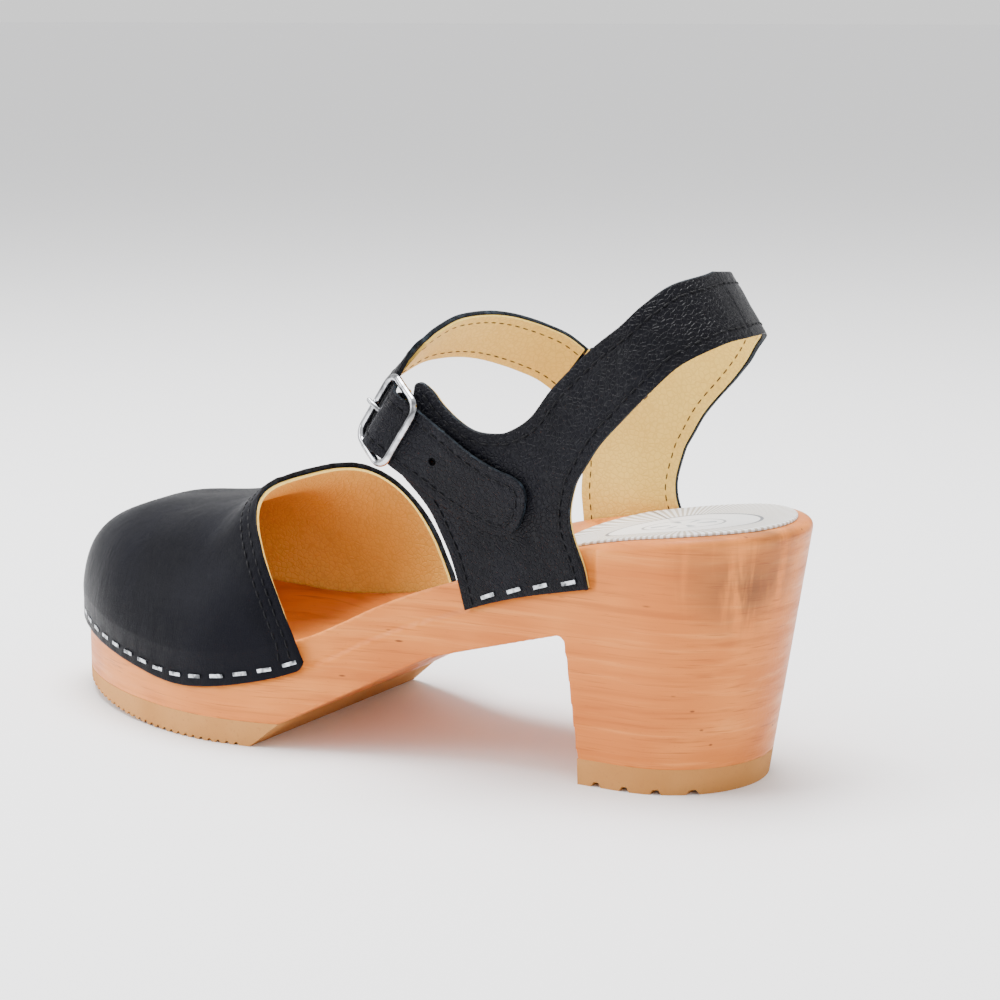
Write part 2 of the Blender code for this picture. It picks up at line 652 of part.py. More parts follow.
def vamp_surface(name, colour, parts, steps=(27, 14)):
    """The vamp's outer surface: a dome from the sole's rim up, with a skirt down to the edge of the leather."""
    phi = np.radians(np.linspace(-90, 90, steps[0]))
    t = np.linspace(0, 1, steps[1]) ** 1.7
    phi, t = np.meshgrid(phi, t)
    points = vamp(phi, t)
    points[0] = points[0, 0]
    bm = bmesh.new()
    bm.from_mesh(grid_mesh(name, points))
    sides = []
    for edge in bm.edges:
        ends = [v.co for v in edge.verts]
        if edge.is_boundary and all(abs(v.z - float(through(RIM, v.x))) < 1e-6 for v in ends):
            sides.append(edge)
    drawn = bmesh.ops.extrude_edge_only(bm, edges=sides)
    for v in drawn["geom"]:
        if isinstance(v, bmesh.types.BMVert):
            v.co = skirt_point(v.co.x, -1 if v.co.y < TOE_Y else 1)
    bmesh.ops.recalc_face_normals(bm, faces=bm.faces)
    mesh = bpy.data.meshes.new(name)
    bm.to_mesh(mesh)
    bm.free()
    return new_object(name, facing_out(mesh, Vector((-0.07, 0, 0.04))), colour, parts)


def quarter_surface(name, colour, parts):
    mesh = facing_out(grid_mesh(name, quarters_grid(3)), Vector((0.06, 0, 0.10)))
    return new_object(name, mesh, colour, parts)


def staple_places(line):
    """(point on the upper's outside, inward direction, direction along the edge) of every staple."""
    places = []
    start = int(np.argmin(np.abs(line[:1201, 0] - VAMP_LATERAL_X + 0.0019)))
    vamp_line = line[start: len(line) - start]
    length = np.linalg.norm(np.diff(vamp_line, axis=0), axis=1).sum()
    count = int(length / STAPLE_PITCH) + 1
    part = evenly(vamp_line, count)
    normals = outward(evenly(vamp_line, 6 * count - 5))[::6]
    out = UPPER_OUT
    for (x, y), (nx, ny) in zip(part, normals):
        z = float(rim_z(x, y) - lap(x)) + STAPLE_UP
        step = 0.002
        slope = float(rim_z(x - ny * step, y) - rim_z(x + ny * step, y)) / (2 * step)
        point = Vector((x + nx * out, y + ny * out, z))
        places.append(("vamp", point, Vector((-nx, -ny, 0)), Vector((-ny, nx, slope)).normalized()))
    for side, name, xs in ((-1, "outer_quarter", (0.042, 0.0505, 0.059, 0.068)),
                           (1, "inner_quarter", (0.0445, 0.052, 0.0595, 0.068))):
        for x in xs:
            q = 0.087 - x + 0.0299 * math.pi / 2
            z = float(rim_z(x, side * HEEL_RADIUS) - lap(x)) + STAPLE_UP
            point = Vector(ankle(np.array(side * q), np.array(z), UPPER))
            dx = 0.002
            slope = float(rim_z(x + dx, side * 0.03) - rim_z(x - dx, side * 0.03)) / (2 * dx)
            places.append((name, point, Vector((0, -side, 0)), Vector((1, 0, slope)).normalized()))
    return places


def staple(name, place, parts):
    """A flat wire bent into a U, with its crown on the leather and its legs through it into the wood."""
    _, point, inward, along = place
    half, wire = STAPLE_LENGTH / 2, STAPLE_WIRE
    top, low = STAPLE_PROUD, -STAPLE_DEPTH
    profile = [(-half, low), (-half, top), (half, top), (half, low)]
    profile += [(half - wire, low), (half - wire, top - wire), (-half + wire, top - wire), (-half + wire, low)]
    up = inward.cross(along)
    ring = np.array([point + along * a - inward * h for a, h in profile])
    step = np.array(up) * STAPLE_WIDTH / 2
    return loft(name, np.stack([ring - step, ring + step]), "staple", parts)


def staple_slots(places, cutters):
    """Cutters of the slots that the staples' legs pass through."""
    bm = bmesh.new()
    for _, point, inward, along in places:
        up = inward.cross(along)
        middle = point + inward * (STAPLE_DEPTH / 2 - 0.0005)
        frame = Matrix((along, inward, up)).transposed().to_4x4()
        size = (STAPLE_LENGTH + 2 * GAP, STAPLE_DEPTH + 0.0022, STAPLE_WIDTH + 2 * GAP)
        placed = Matrix.Translation(middle) @ frame @ Matrix.Diagonal((*size, 1.0))
        bmesh.ops.create_cube(bm, size=1.0, matrix=placed)
    bmesh.ops.recalc_face_normals(bm, faces=bm.faces)
    mesh = bpy.data.meshes.new("staple_slots")
    bm.to_mesh(mesh)
    bm.free()
    return new_object("staple_slots", mesh, None, cutters)


# Straps and buckle


def strap_surface(name, middle, across, half_widths, colour, parts, inside):
    """An open band along a middle line; across gives its crosswise direction at each point."""
    middle = np.array([list(p) for p in middle])
    across = np.array([list(a) for a in across])
    offsets = np.linspace(-1, 1, 4)[:, None, None]
    points = middle[None] + across[None] * (offsets * np.asarray(half_widths)[None, :, None])
    mesh = facing_out(grid_mesh(name, points), Vector(inside))
    return new_object(name, mesh, colour, parts)


def instep_strap(name, low, high, start, colour, parts):
    """The strap over the instep, from its root at the inner quarter to just short of the buckle."""
    line, across = arch_line()
    line, across = line[start:-1], across[start:-1]
    half = [STRAP_WIDTH / 2] * len(line)
    band = strap_surface(name, line, across, half, colour, parts, (0.02, 0.0, 0.09))
    shell(band, low, high)
    return band


def strap_end(parts, cutters):
    """The strap's end: under the buckle's front bar, over the centre bar, under the rear bar, to its round tip."""
    middle, across = strap_end_line()
    line = smooth_line(middle, 12)
    sides = smooth_line(across, 12)
    line, sides = line[13:], sides[13:]
    steps = np.linalg.norm(np.diff(line, axis=0), axis=1)
    s = np.concatenate([[0], np.cumsum(steps)])
    to_tip = s[-1] - s
    u = np.clip(1 - to_tip / TIP_LENGTH, 0, 0.985)
    half = STRAP_WIDTH / 2 * (1 - u**2.6) ** (1 / 2.6)
    keep = np.concatenate([np.arange(0, len(line) - 14, 3), np.arange(len(line) - 13, len(line), 2)])
    sides = sides / np.linalg.norm(sides, axis=1)[:, None]
    end = strap_surface("strap_end", line[keep], sides[keep], half[keep], "leather", parts, (0.03, 0.0, 0.09))
    shell(end, -STRAP_THICKNESS / 2, STRAP_THICKNESS / 2)
    boolean(end, strap_holes(line, sides, s, cutters))
    apply_modifiers(end)
    return end


def strap_holes(line, sides, s, cutters):
    """The prong's hole and one adjusting hole, as a cutter of short round bars."""
    bm = bmesh.new()
    prong_at = s[int(np.argmin(np.linalg.norm(line - np.array(prong_hole_point()), axis=1)))]
    for at in (prong_at, s[-1] - TIP_TO_HOLE):
        i = int(np.argmin(np.abs(s - at)))
        run = Vector(line[min(i + 1, len(line) - 1)] - line[max(i - 1, 0)]).normalized()
        out = run.cross(Vector(sides[i])).normalized()
        placed = Matrix.Translation(Vector(line[i])) @ out.to_track_quat("Z", "Y").to_matrix().to_4x4()
        radius = PRONG_HOLE_RADIUS if at == prong_at else HOLE_RADIUS
        bmesh.ops.create_cone(bm, cap_ends=True, segments=12, radius1=radius, radius2=radius,
                              depth=0.006, matrix=placed)
    mesh = bpy.data.meshes.new("strap_holes")
    bm.to_mesh(mesh)
    bm.free()
    return new_object("strap_holes", mesh, None, cutters)


def tube(name, points, radius, colour, parts, cyclic=False, resolution=2):
    """A round wire along the points."""
    curve = bpy.data.curves.new(name, "CURVE")
    curve.dimensions = "3D"
    spline = curve.splines.new("POLY")
    spline.points.add(len(points) - 1)
    for p, co in zip(spline.points, points):
        p.co = (*co, 1.0)
    spline.use_cyclic_u = cyclic
    curve.bevel_depth = radius
    curve.bevel_resolution = resolution
    curve.use_fill_caps = True
    obj = bpy.data.objects.new(name, curve)
    parts.objects.link(obj)
    graph = bpy.context.evaluated_depsgraph_get()
    mesh = bpy.data.meshes.new_from_object(obj.evaluated_get(graph))
    bpy.data.objects.remove(obj)
    bm = bmesh.new()
    bm.from_mesh(mesh)
    bmesh.ops.remove_doubles(bm, verts=bm.verts, dist=1e-6)
    bmesh.ops.recalc_face_normals(bm, faces=bm.faces)
    bm.to_mesh(mesh)
    bm.free()
    mesh.materials.clear()
    return new_object(name, mesh, colour, parts)


def frame_ring(corner_steps=5):
    """Middle line of the buckle's frame, a rounded rectangle that bows out in its middle."""
    along, bars, out = frame_axes()
    centre = (FRONT_BAR + REAR_BAR) / 2
    half_length = (REAR_BAR - FRONT_BAR).length / 2
    points = []
    for quarter, (sa, sb) in enumerate(((1, 1), (-1, 1), (-1, -1), (1, -1))):
        for i in range(corner_steps + 1):
            turn = math.pi / 2 * (quarter + i / corner_steps)
            a = sa * (half_length - FRAME_CORNER) + FRAME_CORNER * math.cos(turn)
            b = sb * (FRAME_HALF_WIDTH - FRAME_CORNER) + FRAME_CORNER * math.sin(turn)
            points.append((a, b))
        if quarter in (0, 2):
            points += [(sa * f * (half_length - FRAME_CORNER), sb * FRAME_HALF_WIDTH) for f in (0.5, 0.0, -0.5)]
    ring = []
    for a, b in points:
        bow = FRAME_BOW * (1 - (a / half_length) ** 2)
        ring.append(centre + along * a + bars * b + out * bow)
    return ring


def buckle_frame(parts, cutters):
    """Bent wire frame with a centre bar joined across it."""
    frame = tube("buckle_frame", frame_ring(), WIRE_RADIUS, "chrome", parts, cyclic=True)
    bars = frame_axes()[1]
    ends = [bar_middle() - bars * FRAME_HALF_WIDTH, bar_middle() + bars * FRAME_HALF_WIDTH]
    bar = tube("centre_bar", ends, BAR_RADIUS, "chrome", cutters)
    boolean(frame, bar, "UNION")
    apply_modifiers(frame)
    return frame


def prong_hole_point():
    """Where the prong comes up through the strap, between the centre bar and the front bar."""
    return at_buckle(-0.0043, 0.0002)


def buckle_prong(parts, cutters):
    """A prong that turns on the centre bar and rests on the front bar."""
    eye = BAR_RADIUS + GAP + PRONG_RADIUS
    half = (REAR_BAR - FRONT_BAR).length / 2
    rest = WIRE_RADIUS + PRONG_RADIUS + GAP
    line = []
    for turn in (120, 84, 48, 12, -24, -60, -96, -132, -165):
        r = math.radians(turn)
        line.append(at_buckle(eye * math.cos(r), eye * math.sin(r) - BAR_DROP))
    line += [at_buckle(-0.0029, -0.0006), prong_hole_point(), at_buckle(-half + 0.0018, 0.0014)]
    line += [at_buckle(-half, rest), at_buckle(-half - 0.0016, rest + 0.0001)]
    return tube("buckle_prong", evenly(smooth_line(line, 6), 30), PRONG_RADIUS, "chrome", parts)


def buckle_tab(parts, cutters):
    """A leather loop from the outer quarter's front edge round the centre bar and back inside the lining."""
    radius = BAR_RADIUS + GAP + 0.0001 + TAB_THICKNESS / 2
    inside = -GAP - 0.0002 - TAB_THICKNESS / 2
    rows = []
    for share in np.linspace(-1, 1, 4):
        side = frame_axes()[1] * (share * TAB_WIDTH / 2)
        line = [tab_point(a, UPPER - LEATHER / 2, side) for a in (TAB_START, TAB_START - 0.0012)]
        for turn in (70, 115, 160, 205, 250, 290):
            r = math.radians(turn)
            line.append(at_buckle(radius * math.cos(r), radius * math.sin(r) - BAR_DROP) + side)
        line += [tab_point(a, inside, side) for a in (0.0058, 0.0094, TAB_LEG)]
        rows.append(smooth_line(line, 3))
    mesh = facing_out(grid_mesh("buckle_tab", np.array(rows)), bar_middle())
    tab = new_object("buckle_tab", mesh, "leather", parts)
    shell(tab, -TAB_THICKNESS / 2, TAB_THICKNESS / 2)
    bm = bmesh.new()
    along, bars, out = frame_axes()
    slot_frame = Matrix((along, bars, out)).transposed().to_4x4()
    placed = Matrix.Translation(at_buckle(-0.0010, -0.0011)) @ slot_frame
    placed = placed @ Matrix.Diagonal((0.0082, PRONG_SLOT, 0.0080, 1.0))
    bmesh.ops.create_cube(bm, size=1.0, matrix=placed)
    mesh = bpy.data.meshes.new("prong_slot")
    bm.to_mesh(mesh)
    bm.free()
    boolean(tab, new_object("prong_slot", mesh, None, cutters))
    apply_modifiers(tab)
    return tab


def tab_point(a, out, side):
    """A point over the outer quarter, a behind the centre bar, aside along it and out from inside the upper."""
    flat = at_buckle(a, 0.0) + side
    q = float(through(ANKLE_CENTRE, flat.z)) + float(through(ANKLE_RADIUS, flat.z)) * math.pi / 2 - flat.x
    return Vector(ankle(np.array(-q), np.array(flat.z), out))


# Assembly


def clear_scene():
    for obj in list(bpy.data.objects):
        bpy.data.objects.remove(obj)


def new_collection(name):
    collection = bpy.data.collections.new(name)
    bpy.context.scene.collection.children.link(collection)
    return collection


def main():
    clear_scene()
    parts = new_collection("clog")
    cutters = new_collection("cutters")
    line = outline_line()

    places = staple_places(line)
    slots = staple_slots(places, cutters)

    footbed = footbed_cutter(line, cutters)
    wood = wood_sole(line, footbed, parts, cutters)
    front_outsole(line, parts, cutters)
    heel_lift(line, parts, cutters)
    heel_pad(line, footbed, parts, cutters)

    vamp_lining = vamp_surface("vamp_lining", "lining", parts)
    shell(vamp_lining, -UPPER, -LEATHER - GAP)
    vamp_leather = vamp_surface("vamp_leather", "leather", parts)
    shell(vamp_leather, -LEATHER, 0.0)

    quarter_lining = quarter_surface("quarter_lining", "lining", parts)
    shell(quarter_lining, 0.0, LINING)
    quarter_leather = quarter_surface("quarter_leather", "leather", parts)
    shell(quarter_leather, LINING + GAP, UPPER)

    for cut in (wood, vamp_leather, vamp_lining, quarter_leather, quarter_lining):
        boolean(cut, slots)
        apply_modifiers(cut)

    numbers = {}
    for place in places:
        kind = place[0]
        numbers[kind] = numbers.get(kind, 0) + 1
        staple(f"{kind}_staple_{numbers[kind]:02d}", place, parts)

    instep_strap("instep_strap_lining", -LEATHER / 2 - GAP - LINING, -LEATHER / 2 - GAP, 1, "lining", parts)
    instep_strap("instep_strap_leather", -LEATHER / 2, LEATHER / 2, 0, "leather", parts)
    strap_end(parts, cutters)
    buckle_tab(parts, cutters)
    buckle_frame(parts, cutters)
    buckle_prong(parts, cutters)

    for cutter in cutters.objects:
        cutter.hide_render = True
        cutter.display_type = "WIRE"
    cutters.hide_render = True
    for obj in parts.objects:
        obj.data.transform(Matrix.Translation((-ORIGIN[0], -ORIGIN[1], 0)))
        smooth_shading(obj)


main()
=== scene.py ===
"""Looks of the high-heeled clog: wood, rubber, leather, lining, stitching and chrome, and its studio."""

import math

import bmesh
import bpy
import numpy as np
from mathutils import Matrix, Vector


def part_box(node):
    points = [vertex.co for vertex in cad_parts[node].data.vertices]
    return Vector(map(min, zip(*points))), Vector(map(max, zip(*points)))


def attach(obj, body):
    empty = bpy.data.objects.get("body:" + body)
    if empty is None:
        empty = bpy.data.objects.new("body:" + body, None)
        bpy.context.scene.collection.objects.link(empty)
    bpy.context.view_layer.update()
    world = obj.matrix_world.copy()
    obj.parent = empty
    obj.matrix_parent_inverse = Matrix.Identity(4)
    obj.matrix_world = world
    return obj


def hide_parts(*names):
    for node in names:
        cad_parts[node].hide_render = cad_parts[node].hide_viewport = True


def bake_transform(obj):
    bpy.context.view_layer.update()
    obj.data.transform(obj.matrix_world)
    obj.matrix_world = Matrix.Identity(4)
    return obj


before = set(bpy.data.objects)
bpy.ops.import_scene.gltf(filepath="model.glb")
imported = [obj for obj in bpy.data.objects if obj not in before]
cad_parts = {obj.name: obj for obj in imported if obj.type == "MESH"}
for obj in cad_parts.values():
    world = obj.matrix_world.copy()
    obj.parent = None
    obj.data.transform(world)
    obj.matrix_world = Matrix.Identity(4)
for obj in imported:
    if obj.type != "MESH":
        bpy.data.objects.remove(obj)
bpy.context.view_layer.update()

# Driving sizes, the same as the solids', in metres
TOE_X = -0.125
HEEL_X = 0.125
TOE_Y = 0.005
HEEL_RADIUS = 0.0315
HEEL_CENTRE_X = HEEL_X - HEEL_RADIUS
HEEL_BOTTOM_RADIUS = 0.0296
HEEL_BOTTOM_SHIFT = 0.0101
HEEL_HEIGHT = 0.074
ARCH_RISE = 0.006
ARCH_X = 0.030
REBATE_DEPTH = 0.0014
LAP = 0.0095
LAP_REAR = 0.0124
LAP_SWELL = 0.0014
LAP_SWELL_X = -0.052
LAP_SWELL_WIDTH = 0.022
CORNER_REACH = 0.0024
RIM_LAND = 0.003
DISH_WIDTH = 0.020
BREAST_BOTTOM_X = 0.0705
RUBBER = 0.0075
FRONT_REAR_X = -0.0305
FRONT_REAR_TOP_X = -0.0215
TOE_SPRING_X = -0.052
TOE_SPRING = 0.95
GAP = 0.0003
LINING = 0.0008
LEATHER = 0.0014
UPPER = LINING + GAP + LEATHER
UPPER_OUT = UPPER - (REBATE_DEPTH - GAP)
PAD = 0.0008
STRAP_WIDTH = 0.0186
TIP_LENGTH = 0.009
HOLE_RADIUS = 0.0012
TIP_TO_HOLE = 0.0310
WIRE_RADIUS = 0.0011
BAR_RADIUS = 0.0010
BAR_DROP = 0.0011
FRAME_BOW = 0.0003
FRAME_CORNER = 0.0040
FRAME_HALF_WIDTH = 0.0110
TAB_THICKNESS = 0.0009
TAB_WIDTH = 0.0170
TAB_START = 0.0049
TAB_LEG = 0.0130
PRONG_RADIUS = 0.0007
OVER_BAR = 0.0036
UNDER_BAR = 0.0022

# Sizes of the finish only
PRONG_HOLE_RADIUS = 0.0015
PAD_MIDDLE = (0.088, 0.0)
PAD_INSET = 0.0046
STAIN_MIDDLE = (0.116, -0.014, 0.066)
WOOD_VOXEL = 0.0008
HEEL_ROUND = 0.0030
FRONT_ROUND = 0.0006
FRONT_TREAD_PITCH = 0.0031
HEEL_TREAD_PITCH = 0.0088
STITCH_PITCH = 0.0032
STITCH_LENGTH = 0.0025
STITCH_RADIUS = 0.00028
STITCH_INSET = 0.0029
STITCH_GROOVE = 0.00022
EDGE_ROUND = 0.0003
CORNER_ROUND = 0.0024
SEAT_IN_RUBBER = 0.0005
LINING_INSET = 0.0009
LINING_GAP = 0.0001
THREAD_SINK = 0.00012
STAPLE_PULL = 0.0024
STRAP_LINING_START = 0.0016
CUTTER_REACH = 0.06

# How finely lines and rings are divided: points between two knots, round the sole, and metres between points
KNOT = 24
RING = 400
EDGE_STEP = 0.0003
ROW_STEP = 0.0002
STRAP_STEP = 0.0004

# The sole's sides: (ball half width, toe curve from x, widest at x, waist at x, waist half width, toe power)
SIDES = {-1: (0.0475, -0.045, -0.045, 0.035, 0.0315, 1.68), 1: (0.0440, -0.050, -0.035, 0.025, 0.0305, 2.2)}
RIM = [
    (-0.126, 0.0338), (-0.112, 0.0322), (-0.094, 0.0296), (-0.076, 0.0277), (-0.058, 0.0266),
    (-0.042, 0.0277), (-0.025, 0.0304), (-0.014, 0.0338), (-0.004, 0.0386), (0.005, 0.0434),
    (0.015, 0.0479), (0.026, 0.0520), (0.033, 0.0543), (0.045, 0.0590), (0.060, 0.0645),
    (0.075, 0.0687), (0.091, 0.0716), (0.109, 0.0737), (0.126, 0.0745),
]
DISH = [(-0.126, 0.003), (-0.060, 0.0045), (0.000, 0.0050), (0.040, 0.0030), (0.070, 0.0012), (0.126, 0.0012)]
TOE_STRETCH = 0.08
TOE_CLOSING = 0.0002
VAMP_CROWN_X = -0.0443
VAMP_LATERAL_X = -0.0150
VAMP_MEDIAL_X = -0.0119
VAMP_TOP = [
    (-0.1264, 0.0338), (-0.1252, 0.0430), (-0.119, 0.0508), (-0.109, 0.0568), (-0.094, 0.0612),
    (-0.074, 0.0633), (-0.056, 0.0664), (-0.038, 0.0791), (-0.020, 0.0925),
]
ANKLE_RADIUS = [(0.040, 0.0305), (0.068, 0.0305), (0.085, 0.0318), (0.105, 0.0305), (0.130, 0.0268),
                (0.147, 0.0238)]
ANKLE_CENTRE = [(0.040, 0.088), (0.090, 0.087), (0.110, 0.085), (0.130, 0.0815), (0.147, 0.0745)]
ANKLE_DEPTH = [(0.100, 1.0), (0.116, 0.93), (0.1262, 0.86), (0.132, 0.805), (0.145, 0.75)]
ANKLE_SPREAD = 0.10
ARCH_UNDER = [(0.0150, 0.0268), (0.0215, 0.0300), (0.0270, 0.0318), (0.0400, 0.0354)]
ARCH_SLOPE = 0.53
BREAST_CORNER = (0.0665, 0.0420)
BREAST_ROUND = 0.0022
PAD_FRONT = [(0.0490, -0.016), (0.0445, -0.009), (0.0440, 0.0), (0.0445, 0.009), (0.0490, 0.016)]

# The quarters' edges as (distance from the back of the heel along the upper, height)
LATERAL_FRONT = [(0.1243, 0.0890), (0.1195, 0.0832), (0.1141, 0.0775), (0.1100, 0.0722), (0.1051, 0.0629),
                 (0.1026, 0.0559), (0.0999, 0.0459)]
MEDIAL_FRONT = [(0.1085, 0.0985), (0.1030, 0.0895), (0.0993, 0.0810), (0.0975, 0.0720), (0.0965, 0.0630),
                (0.0960, 0.0530)]
REAR = [(0.0608, 0.0567), (0.0623, 0.0630), (0.0660, 0.0724), (0.0670, 0.0784), (0.0658, 0.0850),
        (0.0626, 0.0903), (0.0570, 0.0972), (0.0484, 0.1047), (0.0374, 0.1134), (0.0267, 0.1202),
        (0.0124, 0.1245), (0.0, 0.1253)]
LATERAL_TOP = [(0.1113, 0.1055), (0.1112, 0.1090), (0.1100, 0.1105), (0.1082, 0.1104), (0.1058, 0.1083),
               (0.1037, 0.1051), (0.0995, 0.1010), (0.0948, 0.0984)]
MEDIAL_TOP = [(0.0905, 0.1140), (0.0893, 0.1100), (0.0880, 0.1060), (0.0867, 0.1026)]
SADDLE = [(0.0890, 0.0980), (0.0840, 0.0991)]
MEDIAL_SADDLE = [(0.0850, 0.1005), (0.0822, 0.1004)]
HEEL_TOP = [(0.0765, 0.1034), (0.0672, 0.1123), (0.0531, 0.1226), (0.0408, 0.1298), (0.0303, 0.1356),
            (0.0176, 0.1404), (0.0, 0.1425)]
STRAP_ARCH = [(0.0331, 0.0356, 0.1062), (0.0281, 0.0290, 0.1121), (0.0238, 0.0215, 0.1157),
              (0.0207, 0.0130, 0.1187), (0.0181, 0.0040, 0.1206), (0.0160, -0.0060, 0.1212),
              (0.0138, -0.0150, 0.1202), (0.0119, -0.0245, 0.1165), (0.0105, -0.0293, 0.1123)]
ARCH_ACROSS = Vector((0.707, 0.0, 0.707))
ROOT_ACROSS = Vector((0.652, -0.120, 0.747))
TAIL = [(0.1085, 0.0895), (0.1000, 0.0837), (0.0900, 0.0793), (0.0800, 0.0768)]
FRONT_BAR = Vector((0.0066, -0.0330, 0.1034))
REAR_BAR = Vector((0.0192, -0.0405, 0.0954))
BAR_WAY = Vector((-0.545, -0.017, -0.840))

# From the curves' own middle to the frame's origin, read from where the wooden sole lies
wood_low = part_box("wood_sole")[0]
SHIFT = Vector((wood_low.x - TOE_X, wood_low.y + SIDES[-1][0], 0.0))


# Numbers and curves


def smoothstep(t):
    t = np.clip(t, 0.0, 1.0)
    return t * t * (3 - 2 * t)


def through(knots, x):
    """Monotone cubic through the knots (x, value)."""
    k = np.array(knots, float)
    h = np.diff(k[:, 0])
    d = np.diff(k[:, 1]) / h
    m = np.concatenate([[d[0]], np.zeros(len(d) - 1), [d[-1]]])
    for i in range(1, len(d)):
        if d[i - 1] * d[i] > 0:
            w1, w2 = 2 * h[i] + h[i - 1], h[i] + 2 * h[i - 1]
            m[i] = (w1 + w2) / (w1 / d[i - 1] + w2 / d[i])
    x = np.clip(np.asarray(x, float), k[0, 0], k[-1, 0])
    i = np.clip(np.searchsorted(k[:, 0], x) - 1, 0, len(h) - 1)
    t = (x - k[i, 0]) / h[i]
    start = (2 * t**3 - 3 * t * t + 1) * k[i, 1] + (t**3 - 2 * t * t + t) * h[i] * m[i]
    return start + (3 * t * t - 2 * t**3) * k[i + 1, 1] + (t**3 - t * t) * h[i] * m[i + 1]


def smooth_line(points, fine=KNOT):
    """Catmull-Rom line through the points, as many finely spaced points."""
    p = np.array([list(q) for q in points], float)
    p = np.vstack([2 * p[0] - p[1], p, 2 * p[-1] - p[-2]])
    t = np.linspace(0, 1, fine, endpoint=False)[:, None]
    line = []
    for a, b, c, d in zip(p, p[1:], p[2:], p[3:]):
        line.append(0.5 * (2 * b + (c - a) * t + (2 * a - 5 * b + 4 * c - d) * t**2
                           + (3 * b - a - 3 * c + d) * t**3))
    return np.vstack([*line, p[-2:-1]])


def run_of(line):
    """Distance along a line of points, at each point."""
    return np.concatenate([[0], np.cumsum(np.linalg.norm(np.diff(line, axis=0), axis=1))])


def read_off(at, s, values):
    """Rows of values, known at the distances s, at other distances."""
    return np.stack([np.interp(at, s, column) for column in values.T], 1)


def evenly_with(line, other, n):
    """n points evenly along a line of points, and the rows of other that go with them."""
    s = run_of(line)
    at = np.linspace(0, s[-1], n)
    return read_off(at, s, line), read_off(at, s, other)


def evenly(line, n):
    return evenly_with(line, line, n)[0]


def unit(v):
    return v / np.maximum(np.linalg.norm(v, axis=-1, keepdims=True), 1e-12)


def wobble(p, size, seed):
    """Smooth pseudo-random values in -1..1 at points, changing over about size metres."""
    rng = np.random.default_rng(seed)
    total = np.zeros(p.shape[:-1])
    waves = 7
    for _ in range(waves):
        way = (unit(rng.normal(size=3)) * rng.uniform(0.6, 1.7) / size)[: p.shape[-1]]
        total += np.sin(2 * math.pi * (p @ way) + rng.uniform(0, 6.28))
    return total / waves * 1.6


def nearest(points, line):
    """Distance of every point to a densely sampled line, and the number of its nearest point there."""
    flat = points.reshape(-1, points.shape[-1])
    gap, index = np.empty(len(flat)), np.empty(len(flat), int)
    batch = 3000
    for i in range(0, len(flat), batch):
        d = ((flat[i: i + batch, None] - line[None]) ** 2).sum(-1)
        index[i: i + batch] = d.argmin(1)
        gap[i: i + batch] = np.sqrt(d.min(1))
    return gap.reshape(points.shape[:-1]), index.reshape(points.shape[:-1])


def distance_to(points, line):
    return nearest(points, line)[0]


# Shape of the sole


def half_width(x, side):
    """How far the sole reaches from its middle line at x, to the outer side (-1) or the inner (1)."""
    ball, toe_from, widest, waist_x, waist, power = SIDES[side]
    x = np.asarray(x, float)
    y = waist + (HEEL_RADIUS - waist) * smoothstep((x - waist_x) / 0.04)
    y = y + (ball - waist) * smoothstep((waist_x - x) / (waist_x - widest))
    u = np.clip((toe_from - x) / (toe_from - TOE_X), 0, 1)
    toe = side * TOE_Y + (ball - side * TOE_Y) * (1 - u**power) ** (1 / power)
    back = np.sqrt(np.clip(HEEL_RADIUS**2 - np.clip(x - HEEL_CENTRE_X, 0, None) ** 2, 0, None))
    return np.where(x < toe_from, toe, np.where(x > HEEL_CENTRE_X, back, y))


def outline_line():
    """The sole's plan outline, from the back of the heel round by the outer side."""
    x = (HEEL_X + TOE_X) / 2 + (HEEL_X - TOE_X) / 2 * np.cos(np.linspace(0, math.pi, 1201))
    outer = np.stack([x, -half_width(x, -1)], 1)
    inner = np.stack([x, half_width(x, 1)], 1)[::-1]
    return np.vstack([outer, inner[1:]])


def outward(line):
    """Flat normals of a line of flat points, on its left."""
    d = np.gradient(line, axis=0)
    return unit(np.stack([-d[:, 1], d[:, 0]], 1))


def tapered(plan, z):
    """Plan points as the heel's taper moves them at a height."""
    k = 1 - z / HEEL_HEIGHT
    x, y = plan[:, 0], plan[:, 1]
    ramp = smoothstep((x - 0.045) / (HEEL_CENTRE_X - 0.045))
    shrink = HEEL_BOTTOM_RADIUS / HEEL_RADIUS
    past = np.clip(x - HEEL_CENTRE_X, 0, None)
    x = x - k * (HEEL_BOTTOM_SHIFT * ramp + past * (1 - shrink))
    y = y * (1 - k * (1 - shrink) * smoothstep((plan[:, 0] - 0.02) / 0.04))
    return np.stack([x, y], 1)


def rim_z(x, y):
    """Height of the sole's rim."""
    bell = np.exp(-(((np.asarray(x) - ARCH_X) / 0.026) ** 2))
    return through(RIM, x) + ARCH_RISE * bell * smoothstep(np.asarray(y) / 0.05 + 0.5)


def lap(x):
    """How far the leather laps down over the sole's side."""
    x = np.asarray(x, float)
    swell = LAP_SWELL * np.exp(-(((x - LAP_SWELL_X) / LAP_SWELL_WIDTH) ** 2))
    return LAP + swell + (LAP_REAR - LAP) * smoothstep((x - 0.036) / 0.04)


def footbed_z(x, y, edge):
    """Height of the dished footbed at a distance in from the sole's side."""
    return rim_z(x, y) - through(DISH, x) * smoothstep((edge - RIM_LAND) / DISH_WIDTH)


def rounding(x, edge):
    """How far the rim's rounded edge drops; edge is the distance in from the side, below 0 outside it."""
    r = FRONT_ROUND + (HEEL_ROUND - FRONT_ROUND) * smoothstep((x - 0.050) / 0.028)
    e = np.clip(edge, 0, r)
    return r - np.sqrt(np.clip(r * r - (r - e) ** 2, 0, None)) + np.clip(-edge, 0, 0.003)


def ground_z(x):
    """Height of the front rubber's underside, which springs up at the toe."""
    return TOE_SPRING * np.clip(TOE_SPRING_X - np.asarray(x, float), 0, None) ** 2


